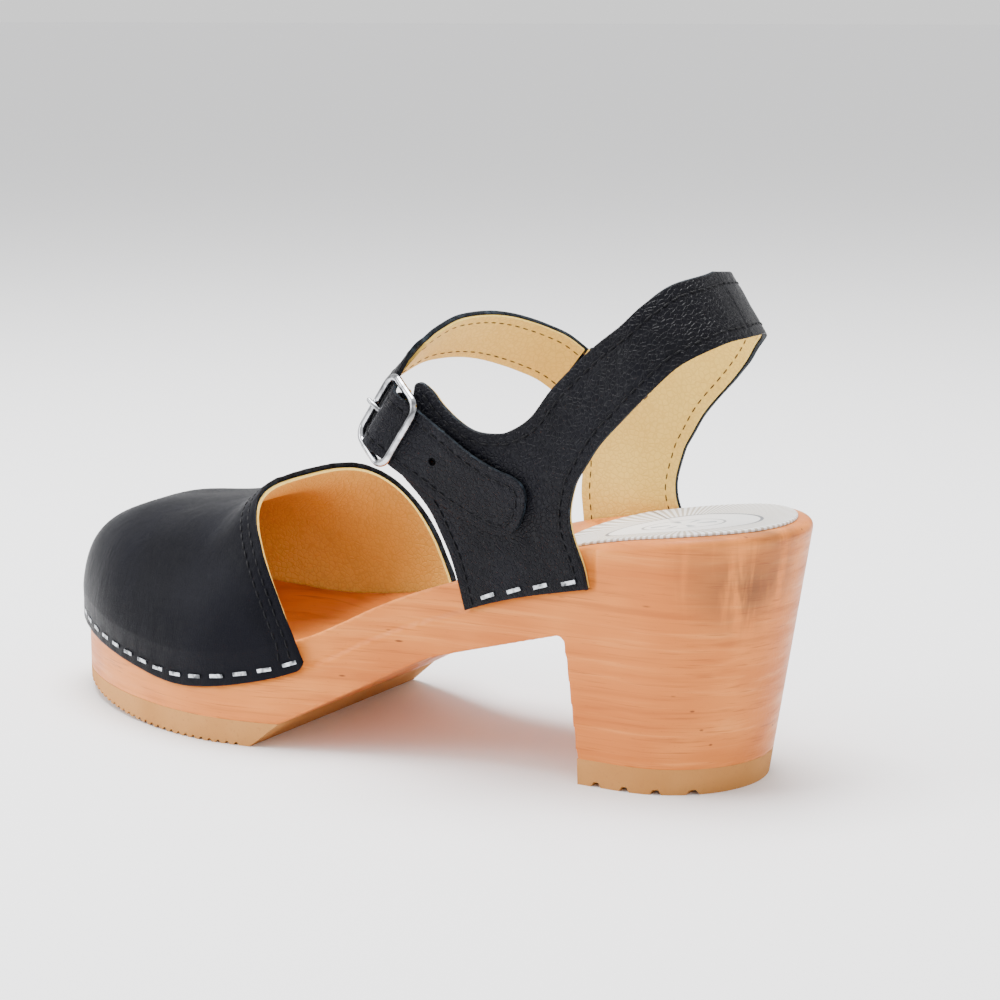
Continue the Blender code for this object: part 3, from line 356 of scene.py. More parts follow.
def underside(rubber_top):
    """Side profile of the wood's underside from toe to heel, at rubber_top above the ground."""
    start_x, start_z = ARCH_UNDER[0]
    slope_x = start_x - (start_z - rubber_top) / ARCH_SLOPE
    arch = smooth_line(ARCH_UNDER, 12).tolist()
    x, z = (c - BREAST_ROUND for c in BREAST_CORNER)
    breast = [(x + BREAST_ROUND * math.sin(a), z + BREAST_ROUND * math.cos(a))
              for a in np.radians(np.linspace(0, 90, 8))]
    return [(slope_x, rubber_top), *arch, *breast, (BREAST_BOTTOM_X, rubber_top)]


# Shape of the upper


def vamp_sides(x):
    """The middle and half width of the vamp's outside at x, which closes at the toe."""
    past_toe = x - TOE_X + UPPER_OUT
    sole_x = TOE_X + past_toe * TOE_STRETCH / (TOE_STRETCH + UPPER_OUT)
    outer, inner = (half_width(sole_x, side) + UPPER_OUT for side in (-1, 1))
    return (inner - outer) / 2, (inner + outer) / 2 * np.clip(past_toe / TOE_CLOSING, 0, 1)


def vamp(phi, t):
    """Outside of the vamp above the rim: phi from -90 degrees on the outer side to 90, t from toe to rim."""
    across = np.sign(phi) * np.abs(np.sin(phi)) ** 0.628
    up = np.abs(np.cos(phi)) ** 0.986
    corner = VAMP_LATERAL_X + (VAMP_MEDIAL_X - VAMP_LATERAL_X) * (0.5 + 0.5 * np.sin(phi))
    rim_x = corner + (VAMP_CROWN_X - corner) * up**1.06
    toe_x = TOE_X - UPPER_OUT
    x = toe_x + (rim_x - toe_x) * t
    middle, half = vamp_sides(x)
    base = through(RIM, x)
    height = through(VAMP_TOP, x) - base
    close = np.clip(height / 0.04, 0, 1)
    y = middle + 0.0060 * up * close + half * across * (1 - 0.0207 * up * close)
    return np.stack([x, y, base + height * up], -1)


def ankle(q, z, out=0.0):
    """The upper round the heel: q is the distance along it from the back, negative on the outer side."""
    r = through(ANKLE_RADIUS, z)
    along = np.abs(q)
    turn = np.clip(along / r, 0, math.pi / 2)
    past = np.clip(along - r * math.pi / 2, 0, None)
    x = through(ANKLE_CENTRE, z) + through(ANKLE_DEPTH, z) * (r + out) * np.cos(turn) - past
    spread = ANKLE_SPREAD * smoothstep((z - 0.07) / 0.03) * past * past / (past + 0.05)
    return np.stack([x, np.sign(q) * ((r + out) * np.sin(turn) + spread), z + 0 * x], -1)


def base_edge(front, side, n):
    """A quarter's lower edge, a lap below the sole's rim."""
    q = np.linspace(front, REAR[0][0], n)
    x = ankle(side * q, np.full(n, 0.055))[:, 0]
    return np.stack([q, rim_z(x, side * HEEL_RADIUS) - lap(x) + 0.0006], 1)


def half_quarter(front, top, saddle, side, columns):
    """Lower and upper edges of one side, from its front end to the back of the heel, column by column."""
    n_front, n_base, n_rise, n_back = columns
    rear = smooth_line(REAR)
    low = [
        evenly(smooth_line(front), n_front)[:-1],
        base_edge(front[-1][0], side, n_base)[:-1],
        evenly(rear[: 3 * KNOT + 1], n_rise)[:-1],
        evenly(rear[3 * KNOT:], n_back),
    ]
    upper = smooth_line([*top, *saddle, *HEEL_TOP])
    first = KNOT * (len(top) - 1)
    second = KNOT * (len(top) + len(saddle) - 1)
    third = second + KNOT
    high = [
        evenly(upper[: first + 1], n_front)[:-1],
        evenly(upper[first: second + 1], n_base)[:-1],
        evenly(upper[second: third + 1], n_rise)[:-1],
        evenly(upper[third:], n_back),
    ]
    return np.vstack(low), np.vstack(high)


QUARTERS = {-1: (LATERAL_FRONT, LATERAL_TOP, SADDLE), 1: (MEDIAL_FRONT, MEDIAL_TOP, MEDIAL_SADDLE)}


def frame_axes():
    """The buckle's own axes: along the strap, along its bars (downwards) and out of the shoe."""
    along = (REAR_BAR - FRONT_BAR).normalized()
    bars = (BAR_WAY - along * BAR_WAY.dot(along)).normalized()
    return along, bars, bars.cross(along).normalized()


def at_buckle(a, o):
    """The point a along the strap and o out of the shoe from the middle of the buckle."""
    along, _, out = frame_axes()
    return (FRONT_BAR + REAR_BAR) / 2 + along * a + out * o


def bar_middle():
    return at_buckle(0.0, -BAR_DROP)


def prong_hole_point():
    return at_buckle(-0.0043, 0.0002)


def buckle_half():
    return (REAR_BAR - FRONT_BAR).length / 2


def round_bar(a, o, radius, turns):
    """Points round the bar at (a, o), at angles in degrees from straight out of the shoe."""
    return [at_buckle(a + radius * math.sin(r), o + radius * math.cos(r)) for r in map(math.radians, turns)]


def weave_points():
    """The strap's way through the buckle: under the front bar, over the middle one and under the rear one."""
    half = buckle_half()
    return [
        *round_bar(-half, 0.0, UNDER_BAR, (180, 148)),
        *round_bar(0.0, -BAR_DROP, OVER_BAR, (-34, -12, 12, 34)),
        *round_bar(half, 0.0, UNDER_BAR, (212, 175)),
    ]


def arch_line():
    """Middle line and crosswise directions of the instep strap's leather, from root to buckle."""
    line = smooth_line(STRAP_ARCH)[2:]
    share = smoothstep(np.linspace(0, 3, len(line)))[:, None]
    across = np.array(ROOT_ACROSS) * (1 - share) + np.array(ARCH_ACROSS) * share
    out = unit(np.cross(across, np.gradient(line, axis=0)))
    line = line + out * LEATHER / 2 * (1 if out[100, 2] < 0 else -1)
    keep = np.linspace(0, len(line) - 1, 30).astype(int)
    return line[keep], across[keep]


def strap_end_line():
    """Middle line and crosswise directions of the strap from the instep, through the buckle, to the tip."""
    bars = frame_axes()[1]
    arch = arch_line()[0]
    middle = [Vector(arch[-4]), Vector(arch[-1]), *weave_points()]
    across = [ARCH_ACROSS, (ARCH_ACROSS - bars).normalized()] + [-bars] * (len(middle) - 2)
    lie = UPPER + GAP + LEATHER / 2
    for i, (q, z) in enumerate(TAIL):
        middle.append(Vector(ankle(np.array(-q), np.array(z), lie + 0.0003)))
        before = TAIL[max(i - 1, 0)]
        after = TAIL[min(i + 1, len(TAIL) - 1)]
        run = np.array(after) - np.array(before)
        up = np.array([-run[1], run[0]]) / np.linalg.norm(run)
        up = up if up[1] > 0 else -up
        a = ankle(np.array(-(q + up[0] * 0.01)), np.array(z + up[1] * 0.01), lie)
        b = ankle(np.array(-(q - up[0] * 0.01)), np.array(z - up[1] * 0.01), lie)
        across.append(Vector(a - b).normalized())
    return middle, across


def whole_strap():
    """The whole strap from root to tip: middle line, crosswise and outward directions, distance along it."""
    arch, arch_across = arch_line()
    end, end_across = strap_end_line()
    middle = [*arch[:-4:3], *[list(p) for p in end]]
    across = [*arch_across[:-4:3], *[list(a) for a in end_across]]
    line, sides = smooth_line(middle), smooth_line(across)
    line, sides = evenly_with(line, sides, int(run_of(line)[-1] / STRAP_STEP) + 1)
    sides = unit(sides)
    out = unit(np.cross(np.gradient(line, axis=0), sides))
    if out[len(out) // 3, 2] < 0:
        out = -out
    return line, sides, out, run_of(line)


# Meshes


def grid_faces(rows, columns):
    i, j = np.meshgrid(np.arange(rows - 1), np.arange(columns - 1), indexing="ij")
    a = i * columns + j
    return np.stack([a, a + 1, a + columns + 1, a + columns], -1).reshape(-1, 4)


def in_mesh(mesh, *steps):
    """Takes a mesh, or a new one of this name, through steps that each get a bmesh. Turns its faces out."""
    bm = bmesh.new()
    if isinstance(mesh, str):
        mesh = bpy.data.meshes.new(mesh)
    else:
        bm.from_mesh(mesh)
    for step in steps:
        step(bm)
    bmesh.ops.recalc_face_normals(bm, faces=bm.faces)
    bm.to_mesh(mesh)
    bm.free()
    return mesh


def merged(distance):
    return lambda bm: bmesh.ops.remove_doubles(bm, verts=bm.verts, dist=distance)


def triangulated(bm):
    bmesh.ops.triangulate(bm, faces=bm.faces)


def build(name, verts, faces, slots=None, merge=1e-7):
    """A mesh from arrays, with doubled points merged and its faces turned outwards."""
    mesh = bpy.data.meshes.new(name)
    mesh.from_pydata(verts.tolist(), [], faces.tolist())
    if slots is not None:
        mesh.polygons.foreach_set("material_index", np.asarray(slots, np.int32))
    return in_mesh(mesh, merged(merge))


def loft(name, rings):
    """A closed mesh through rings of points, with a flat face across the first and the last."""

    def faces(bm):
        verts = [[bm.verts.new(p) for p in ring] for ring in rings]
        for a, b in zip(verts, verts[1:]):
            for i in range(len(a)):
                j = (i + 1) % len(a)
                bm.faces.new((a[i], a[j], b[j], b[i]))
        bm.faces.new(verts[0][::-1])
        bm.faces.new(verts[-1])

    return in_mesh(name, faces)


def piece(name, mesh, *materials):
    """A new object in the frame, from a mesh in the curves' own coordinates."""
    obj = bpy.data.objects.new(name, mesh)
    bpy.context.scene.collection.objects.link(obj)
    mesh.transform(Matrix.Translation(SHIFT))
    for made in materials:
        mesh.materials.append(made)
    return obj


def modified(obj, kind, **settings):
    """Gives the object one more modifier."""
    modifier = obj.modifiers.new(kind.lower(), kind)
    for key, value in settings.items():
        setattr(modifier, key, value)
    return obj


def applied(obj):
    graph = bpy.context.evaluated_depsgraph_get()
    mesh = bpy.data.meshes.new_from_object(obj.evaluated_get(graph))
    obj.modifiers.clear()
    obj.data = mesh
    return obj


def smooth(obj, degrees=40):
    obj.data.shade_smooth()
    obj.data.set_sharp_from_angle(angle=math.radians(degrees))
    return obj


def facing_out(mesh, inside):
    total = sum((p.center - inside).dot(p.normal) * p.area for p in mesh.polygons)
    if total < 0:
        mesh.flip_normals()
    return mesh


def slab(name, outer, inner, *materials):
    """A closed sheet between two grids of points, in materials for its outer side, inner side and edge."""
    rows, columns = outer.shape[:2]
    n = rows * columns
    front = grid_faces(rows, columns)
    number = np.arange(n).reshape(rows, columns)
    rims = [np.stack([e[:-1], e[1:], e[1:] + n, e[:-1] + n], 1)
            for e in (number[0], number[-1], number[:, 0], number[:, -1])]
    rim = np.concatenate(rims)
    faces = np.concatenate([front, front[:, ::-1] + n, rim])
    slots = [0] * len(front) + [1] * len(front) + [2] * len(rim)
    verts = np.concatenate([outer.reshape(-1, 3), inner.reshape(-1, 3)])
    return piece(name, build(name, verts, faces, slots), *materials)


def side_slab(name, profile):
    """A solid with this side profile, wider than the sole, for cutting."""
    return piece(name, loft(name, [[(x, y, z) for x, z in profile] for y in (-CUTTER_REACH, CUTTER_REACH)]))


def cut(obj, cutter, operation="DIFFERENCE"):
    """Applies a Boolean with the cutter, then removes the cutter."""
    in_mesh(cutter.data, triangulated)
    applied(modified(obj, "BOOLEAN", object=cutter, operation=operation, solver="EXACT"))
    bpy.data.objects.remove(cutter)


# Materials


class Recipe:
    """A node material under construction."""

    def __init__(self, name, colour, roughness, **inputs):
        self.material = bpy.data.materials.new(name)
        self.material.use_nodes = True
        self.tree = self.material.node_tree
        self.shader = self.tree.nodes["Principled BSDF"]
        self.shader.inputs["Base Color"].default_value = (*colour, 1)
        self.shader.inputs["Roughness"].default_value = roughness
        for key, value in inputs.items():
            self.shader.inputs[key.replace("_", " ")].default_value = value
        self.place = self.tree.nodes.new("ShaderNodeTexCoord").outputs["Object"]

    def node(self, kind, **values):
        made = self.tree.nodes.new("ShaderNode" + kind)
        for key, value in values.items():
            if hasattr(made, key):
                setattr(made, key, value)
            else:
                made.inputs[key.replace("_", " ")].default_value = value
        return made

    def feed(self, socket, value):
        """Gives a socket another node's output, or a constant."""
        if isinstance(value, bpy.types.NodeSocket):
            self.tree.links.new(value, socket)
        else:
            socket.default_value = (*value, 1) if socket.type == "RGBA" else value

    def scaled(self, scale, turn=(0, 0, 0)):
        mapping = self.node("Mapping", Scale=scale, Rotation=turn)
        self.feed(mapping.inputs["Vector"], self.place)
        return mapping.outputs["Vector"]

    def noise(self, scale, detail=3.0, rough=0.5, vector=None, distortion=0.0):
        made = self.node("TexNoise", Scale=scale, Detail=detail, Roughness=rough, Distortion=distortion)
        self.feed(made.inputs["Vector"], vector or self.place)
        return made.outputs["Fac"]

    def cells(self, scale, feature="F1", vector=None):
        made = self.node("TexVoronoi", feature=feature, Scale=scale)
        self.feed(made.inputs["Vector"], vector or self.place)
        return made.outputs["Distance"]

    def math(self, kind, *values, node="Math"):
        made = self.node(node, operation=kind)
        for socket, value in zip(made.inputs, values):
            self.feed(socket, value)
        return made.outputs

    def times(self, a, b):
        return self.math("MULTIPLY", a, b)[0]

    def ranged(self, value, low, high, to_low=0.0, to_high=1.0):
        """The value's range low to high brought smoothly to to_low to to_high."""
        made = self.node("MapRange", interpolation_type="SMOOTHSTEP")
        for socket, number in zip(made.inputs, (value, low, high, to_low, to_high)):
            self.feed(socket, number)
        return made.outputs["Result"]

    def mix(self, share, a, b):
        made = self.node("Mix", data_type="RGBA")
        self.feed(made.inputs[0], share)
        for socket, value in zip([s for s in made.inputs if s.type == "RGBA"], (a, b)):
            self.feed(socket, value)
        return [s for s in made.outputs if s.type == "RGBA"][0]

    def mottled(self, pattern, a, b):
        return self.mix(self.ranged(pattern, 0.35, 0.65), a, b)

    def colour(self, value):
        self.feed(self.shader.inputs["Base Color"], value)

    def roughness(self, value):
        self.feed(self.shader.inputs["Roughness"], value)

    def bump(self, *layers):
        """Each layer is (height, distance in metres)."""
        normal = None
        for height, distance in layers:
            made = self.node("Bump", Strength=1.0, Distance=distance)
            self.feed(made.inputs["Height"], height)
            if normal:
                self.feed(made.inputs["Normal"], normal)
            normal = made.outputs["Normal"]
        self.feed(self.shader.inputs["Normal"], normal)


def wood_material():
    """Alder with long grain, fine hairs, pores, flecks and a stain at the back of the heel."""
    r = Recipe("alder_wood", (0.74, 0.25, 0.055), 0.46, Specular_IOR_Level=0.15, Coat_Weight=0.05,
               Coat_Roughness=0.30)
    warp = r.noise(16, 2, vector=r.scaled((0.6, 1, 1)))
    lines = r.noise(420, 3, 0.6, r.scaled((0.035, 0.12, 1), (0, 0.03, 0.02)), 0.3)
    hairs = r.noise(1500, 2, 0.6, r.scaled((0.022, 0.07, 1), (0, 0.02, 0.01)), 0.2)
    rings = r.noise(75, 2, 0.5, r.scaled((0.10, 0.35, 1.0), (0.25, 0.05, 0)), 1.2)
    blotch = r.noise(22, 3, 0.55, r.scaled((0.8, 1, 0.8)))
    flecks = r.cells(150, vector=r.scaled((0.25, 1, 1.3)))
    pores = r.cells(950, vector=r.scaled((0.12, 1, 1)))
    base = r.mottled(blotch, (0.72, 0.235, 0.045), (0.58, 0.165, 0.028))
    base = r.mix(r.ranged(rings, 0.42, 0.62, 0.0, 0.45), base, (0.50, 0.125, 0.018))
    base = r.mix(r.ranged(lines, 0.52, 0.74, 0.0, 0.45), base, (0.36, 0.085, 0.015))
    base = r.mix(r.ranged(lines, 0.48, 0.25, 0.0, 0.35), base, (0.84, 0.35, 0.09))
    base = r.mix(r.ranged(hairs, 0.56, 0.74, 0.0, 0.55), base, (0.33, 0.075, 0.015))
    base = r.mix(r.ranged(pores, 0.13, 0.04, 0.0, 0.35), base, (0.32, 0.085, 0.022))
    base = r.mix(r.ranged(flecks, 0.085, 0.03, 0.0, 0.85), base, (0.12, 0.030, 0.010))
    from_stain = r.math("DISTANCE", r.place, STAIN_MIDDLE, node="VectorMath")["Value"]
    stain = r.times(r.ranged(from_stain, 0.026, 0.006), r.ranged(warp, 0.36, 0.56))
    streak = r.noise(160, 3, 0.6, r.scaled((1.0, 1.0, 0.10)), 0.4)
    stain = r.times(stain, r.ranged(streak, 0.36, 0.58))
    base = r.mix(r.times(stain, 0.85), base, (0.08, 0.035, 0.020))
    r.colour(base)
    r.roughness(r.ranged(lines, 0.3, 0.7, 0.36, 0.50))
    r.bump((lines, 0.00006), (hairs, 0.00003), (pores, 0.00004))
    return r.material


def rubber_material():
    r = Recipe("sole_rubber", (0.54, 0.26, 0.095), 0.82, Specular_IOR_Level=0.2)
    speck = r.noise(900, 2, 0.6)
    cloud = r.noise(30, 3)
    base = r.mottled(cloud, (0.52, 0.245, 0.072), (0.45, 0.200, 0.054))
    base = r.mix(r.ranged(speck, 0.56, 0.75, 0.0, 0.5), base, (0.38, 0.165, 0.055))
    r.colour(base)
    r.roughness(r.ranged(cloud, 0.3, 0.7, 0.75, 0.9))
    r.bump((speck, 0.00008), (cloud, 0.0003))
    return r.material


def leather_material(name, pebble, size, roughness, wrinkle, shine):
    """Black leather; pebble is the grain's depth in metres and size its cells to the metre."""
    r = Recipe(name, (0.004, 0.0042, 0.0068), roughness, Specular_IOR_Level=shine)
    warp = r.noise(240, 2, 0.5)
    shifted = r.math("MULTIPLY_ADD", warp, (0.0012, 0.0012, 0.0012), r.place, node="VectorMath")["Vector"]
    creases = r.cells(size, "DISTANCE_TO_EDGE", shifted)
    fine = r.noise(size * 4, 3, 0.6)
    folds = r.noise(90, 4, 0.6, r.scaled((1.0, 1.0, 0.45), (0.0, 0.5, 0.0)), 0.6)
    hills = r.ranged(creases, 0.0, 0.16)
    cloud = r.noise(35, 3)
    r.colour(r.mottled(cloud, (0.0022, 0.0023, 0.0042), (0.0040, 0.0042, 0.0070)))
    r.roughness(r.math("ADD", r.ranged(fine, 0.3, 0.7, roughness - 0.06, roughness + 0.06),
                       r.ranged(hills, 0.0, 1.0, 0.10, 0.0))[0])
    r.bump((folds, wrinkle), (hills, pebble), (fine, pebble * 0.35))
    return r.material


def cut_edge_material():
    """The raw, fibrous edge of black leather."""
    r = Recipe("cut_leather_edge", (0.006, 0.009, 0.013), 0.75, Specular_IOR_Level=0.12)
    fibre = r.noise(1500, 3, 0.7)
    patch = r.noise(320, 3, 0.6)
    base = r.mix(r.ranged(fibre, 0.40, 0.68), (0.003, 0.004, 0.006), (0.015, 0.022, 0.030))
    r.colour(r.mix(r.ranged(patch, 0.50, 0.66, 0.0, 0.6), base, (0.026, 0.038, 0.050)))
    r.bump((fibre, 0.00022), (patch, 0.0003))
    return r.material


def lining_material():
    r = Recipe("cream_lining", (0.82, 0.56, 0.19), 0.62, Specular_IOR_Level=0.2)
    creases = r.cells(620, "DISTANCE_TO_EDGE")
    fine = r.noise(1600, 3, 0.6)
    cloud = r.noise(28, 3)
    hills = r.ranged(creases, 0.0, 0.18)
    base = r.mottled(cloud, (0.84, 0.60, 0.150), (0.77, 0.52, 0.115))
    # Painted shade: the colour is darkened in the grain's creases
    base = r.mix(r.ranged(hills, 1.0, 0.0, 0.0, 0.30), base, (0.56, 0.33, 0.070))
    r.colour(r.mix(r.ranged(fine, 0.55, 0.75, 0.0, 0.25), base, (0.58, 0.36, 0.080)))
    r.roughness(r.ranged(fine, 0.3, 0.7, 0.55, 0.70))
    r.bump((hills, 0.00007), (fine, 0.00004))
    return r.material


def thread_material(name, dark, light):
    r = Recipe(name, dark, 0.55, Specular_IOR_Level=0.15)
    twist = r.noise(2600, 2)
    r.colour(r.mottled(twist, dark, light))
    r.bump((twist, 0.0001))
    return r.material


def metal_material(name, colour, roughness, scratch, patch, reflection_darkness):
    """Bright metal; its darker patches, 1/patch metres across at the given fraction of its colour, are painted
    dark reflections.
    """
    r = Recipe(name, colour, roughness, Metallic=1.0)
    lines = r.noise(700, 4, 0.6, r.scaled((1.0, 0.2, 0.2)))
    cloud = r.noise(patch, 3)
    # Painted dark reflections: patches of the metal's colour darkened
    r.colour(r.mottled(cloud, colour, tuple(c * reflection_darkness for c in colour)))
    r.roughness(r.ranged(lines, 0.35, 0.65, roughness, roughness + scratch))
    r.bump((lines, 0.00001))
    return r.material


def pad_material():
    """A pale printed sock: fine stripes fanned round a plain oval."""
    r = Recipe("printed_pad", (0.86, 0.86, 0.84), 0.45)
    middle = (PAD_MIDDLE[0] + SHIFT.x, PAD_MIDDLE[1] + SHIFT.y, 0)
    parts = r.node("SeparateXYZ")
    r.feed(parts.inputs[0], r.math("SUBTRACT", r.place, middle, node="VectorMath")["Vector"])
    x, y, _ = parts.outputs
    turn = r.math("ARCTAN2", y, x)[0]
    across = r.math("DIVIDE", y, 0.0155)[0]
    along = r.math("DIVIDE", x, 0.0235)[0]
    oval = r.math("SQRT", r.math("ADD", r.times(across, across), r.times(along, along))[0])[0]

    def rays(count, low, high):
        return r.ranged(r.math("SINE", r.times(turn, count))[0], low, high)

    def ring(low, start, end, high):
        return r.times(r.ranged(oval, low, start), r.ranged(oval, high, end))

    stripes = r.times(rays(96.0, -0.2, 0.4), r.ranged(oval, 0.99, 1.01))
    petals = r.times(rays(6.0, 0.55, 0.65), ring(0.16, 0.18, 0.41, 0.43))
    base = r.mix(r.times(stripes, 0.85), (0.84, 0.845, 0.85), (0.40, 0.34, 0.26))
    base = r.mix(ring(0.955, 0.965, 1.0, 1.01), base, (0.15, 0.16, 0.18))
    base = r.mix(r.times(ring(0.50, 0.51, 0.535, 0.545), 0.8), base, (0.15, 0.16, 0.18))
    base = r.mix(r.times(petals, 0.8), base, (0.22, 0.27, 0.31))
    grain = r.noise(1200, 3)
    r.colour(r.mix(r.ranged(grain, 0.55, 0.75, 0.0, 0.12), base, (0.55, 0.53, 0.50)))
    r.bump((grain, 0.00003))
    return r.material


WOOD = wood_material()
RUBBER_LOOK = rubber_material()
SMOOTH = leather_material("smooth_leather", 0.000045, 1500, 0.34, 0.0004, 0.055)
GRAIN = leather_material("grained_leather", 0.00016, 780, 0.34, 0.0010, 0.12)
CUT_EDGE = cut_edge_material()
CREAM = lining_material()
DARK_THREAD = thread_material("black_thread", (0.0015, 0.0015, 0.002), (0.006, 0.006, 0.008))
LINING_THREAD = thread_material("lining_thread", (0.05, 0.026, 0.012), (0.13, 0.075, 0.030))
# The staples' and the buckle's darker patches are painted reflections
STEEL = metal_material("staple_wire", (0.60, 0.63, 0.67), 0.20, 0.14, 520, 0.12)
CHROME = metal_material("polished_chrome", (0.62, 0.63, 0.66), 0.06, 0.06, 300, 0.30)
PRINT = pad_material()

# Sole


OUTLINE = outline_line()


def sole_block(name, low, high, levels, material):
    """The sole's outline lofted from one height to another, with the heel's taper."""
    plan = evenly(OUTLINE, RING + 1)[:-1]
    rings = [np.column_stack([tapered(plan, z), np.full(RING, z)]) for z in np.linspace(low, high, levels)]
    return piece(name, loft(name, rings), material)


def signed_edge(x, y):
    """Distance in from the sole's side, below 0 outside it."""
    edge = distance_to(np.stack([x, y], -1), OUTLINE)
    reach = np.where(y < 0, half_width(x, -1), half_width(x, 1))
    outside = (np.abs(y) > reach) | (x < TOE_X) | (x > HEEL_X)
    return np.where(outside, -edge, edge)


def footbed_cutter():
    """A block whose underside is the dished footbed, with the heel's rim rounded over."""
    x, y = np.meshgrid(np.linspace(-0.130, 0.130, 261), np.linspace(-0.052, 0.052, 131), indexing="ij")
    edge = signed_edge(x, y)
    z = footbed_z(x, y, np.clip(edge, 0, None)) - rounding(x, edge)
    low = np.stack([x, y, z], -1)
    high = low.copy()
    high[..., 2] = 0.12
    return slab("footbed_cutter", low, high)


def rebate_cutter():
    """A band that sets the wood in where leather laps over it."""
    start = int(np.argmin(np.abs(OUTLINE[: len(OUTLINE) // 2 + 1, 0] - 0.0765)))
    part = evenly(OUTLINE[start: len(OUTLINE) - start], 300)
    n = outward(part)
    step = rim_z(part[:, 0], part[:, 1]) - lap(part[:, 0])
    inner, outer = part - n * REBATE_DEPTH, part + n * 0.006
    above = np.full(len(part), 0.1)
    corners = [(inner, step), (outer, step), (outer, above), (inner, above), (inner, step)]
    rings = np.stack([np.column_stack(corner) for corner in corners], 1)
    caps = [(3, 2, 1, 0), tuple(len(corners) * (len(part) - 1) + i for i in range(4))]
    faces = np.concatenate([grid_faces(len(part), len(corners)), caps])
    return piece("rebate_cutter", build("rebate_cutter", rings.reshape(-1, 3), faces))


def wooden_sole():
    """The platform, arch and heel, with the footbed and the leather's rebate cut in and the edges softened."""
    wood = sole_block("clog_wood", 0.0, 0.090, 6, WOOD)
    level = RUBBER - SEAT_IN_RUBBER
    low = [(-0.14, -0.01), (-0.14, level), *underside(level), (0.14, level), (0.14, -0.01)]
    cut(wood, side_slab("underside_cutter", low))
    cut(wood, footbed_cutter())
    cut(wood, rebate_cutter())
    modified(wood, "REMESH", mode="VOXEL", voxel_size=WOOD_VOXEL, use_smooth_shade=True)
    applied(modified(wood, "SMOOTH", factor=0.5, iterations=2))
    wood.data.materials.clear()
    wood.data.materials.append(WOOD)
    wood.data.shade_smooth()
    return wood


def tread_cutter(name, start, end, pitch, top_width, floor_width, depth):
    """Grooves across the underside of the rubber, as a comb-shaped slab."""
    profile = [(end + 0.01, -0.01), (start - 0.01, -0.01), (start - 0.01, -0.002)]
    for x in np.arange(start, end, pitch):
        z = float(ground_z(x))
        profile += [(x - floor_width, -0.002), (x - floor_width, z - 0.0001), (x - top_width, z + depth)]
        profile += [(x + top_width, z + depth), (x + floor_width, z - 0.0001), (x + floor_width, -0.002)]
    profile.append((end + 0.01, -0.002))
    return side_slab(name, profile)


def front_rubber():
    """The front outsole, with grooves across its underside."""
    rubber = sole_block("clog_front_rubber", -0.005, 0.03, 2, RUBBER_LOOK)
    profile = [(x, float(ground_z(x))) for x in np.linspace(-0.135, TOE_SPRING_X, 30)]
    profile += [(FRONT_REAR_X, 0.0), (FRONT_REAR_TOP_X, RUBBER), (-0.135, RUBBER)]
    cut(rubber, side_slab("front_slab", profile), "INTERSECT")
    cut(rubber, tread_cutter("front_treads", -0.1185, -0.0335, FRONT_TREAD_PITCH, 0.0003, 0.0010, 0.0009))
    return smooth(rubber, 30)


def heel_rubber():
    """The heel lift, with wider grooves."""
    rubber = sole_block("clog_heel_rubber", 0.0, RUBBER, 2, RUBBER_LOOK)
    breast = BREAST_BOTTOM_X + GAP
    keep = [(breast, -0.01), (0.14, -0.01), (0.14, 0.02), (breast - 0.0004, 0.02)]
    cut(rubber, side_slab("heel_slab", keep), "INTERSECT")
    cut(rubber, tread_cutter("heel_treads", 0.0765, 0.110, HEEL_TREAD_PITCH, 0.0008, 0.0016, 0.0014))
    return smooth(rubber, 30)


def printed_pad():
    """The thin printed sock on the heel seat."""
    middle = len(OUTLINE) // 2
    edge = OUTLINE - outward(OUTLINE) * PAD_INSET
    seat = OUTLINE[:, 0] > 0.064
    back = np.vstack([edge[middle:][seat[middle:]], edge[:middle][seat[:middle]]])
    front = smooth_line([back[-1], *PAD_FRONT, back[0]], 20)
    ring = evenly(np.vstack([back, front[1:]]), 361)
    reach = np.concatenate([np.linspace(0, 0.96, 40), [0.975, 0.985, 0.992, 0.997, 1.0]])
    flat = np.array(PAD_MIDDLE) + (ring[None] - PAD_MIDDLE) * reach[:, None, None]
    x, y = flat[..., 0], flat[..., 1]
    bed = footbed_z(x, y, np.clip(signed_edge(x, y), 0, None))
    inset = (1 - reach)[:, None] * np.linalg.norm(ring - PAD_MIDDLE, axis=1)[None]
    crown = PAD - 0.0004 * (1 - np.sqrt(np.clip(1 - np.clip(1 - inset / 0.0005, 0, 1) ** 2, 0, 1)))
    top = np.stack([x, y, bed + GAP / 2 + crown], -1)
    low = np.stack([x, y, bed + GAP / 2], -1)
    return smooth(slab("clog_pad", top, low, *[PRINT] * 3), 50)


# Stitching


def inset_line(edge, inside, distance):
    """A copy of a flat line moved in by a distance, with the points that come too near the line left out."""
    line = evenly(edge, int(run_of(edge)[-1] / EDGE_STEP))
    n = outward(line)
    if ((np.array(inside) - line[len(line) // 2]) @ n[len(line) // 2]) < 0:
        n = -n
    moved = line + n * distance
    return moved[distance_to(moved, line) > distance * 0.985]


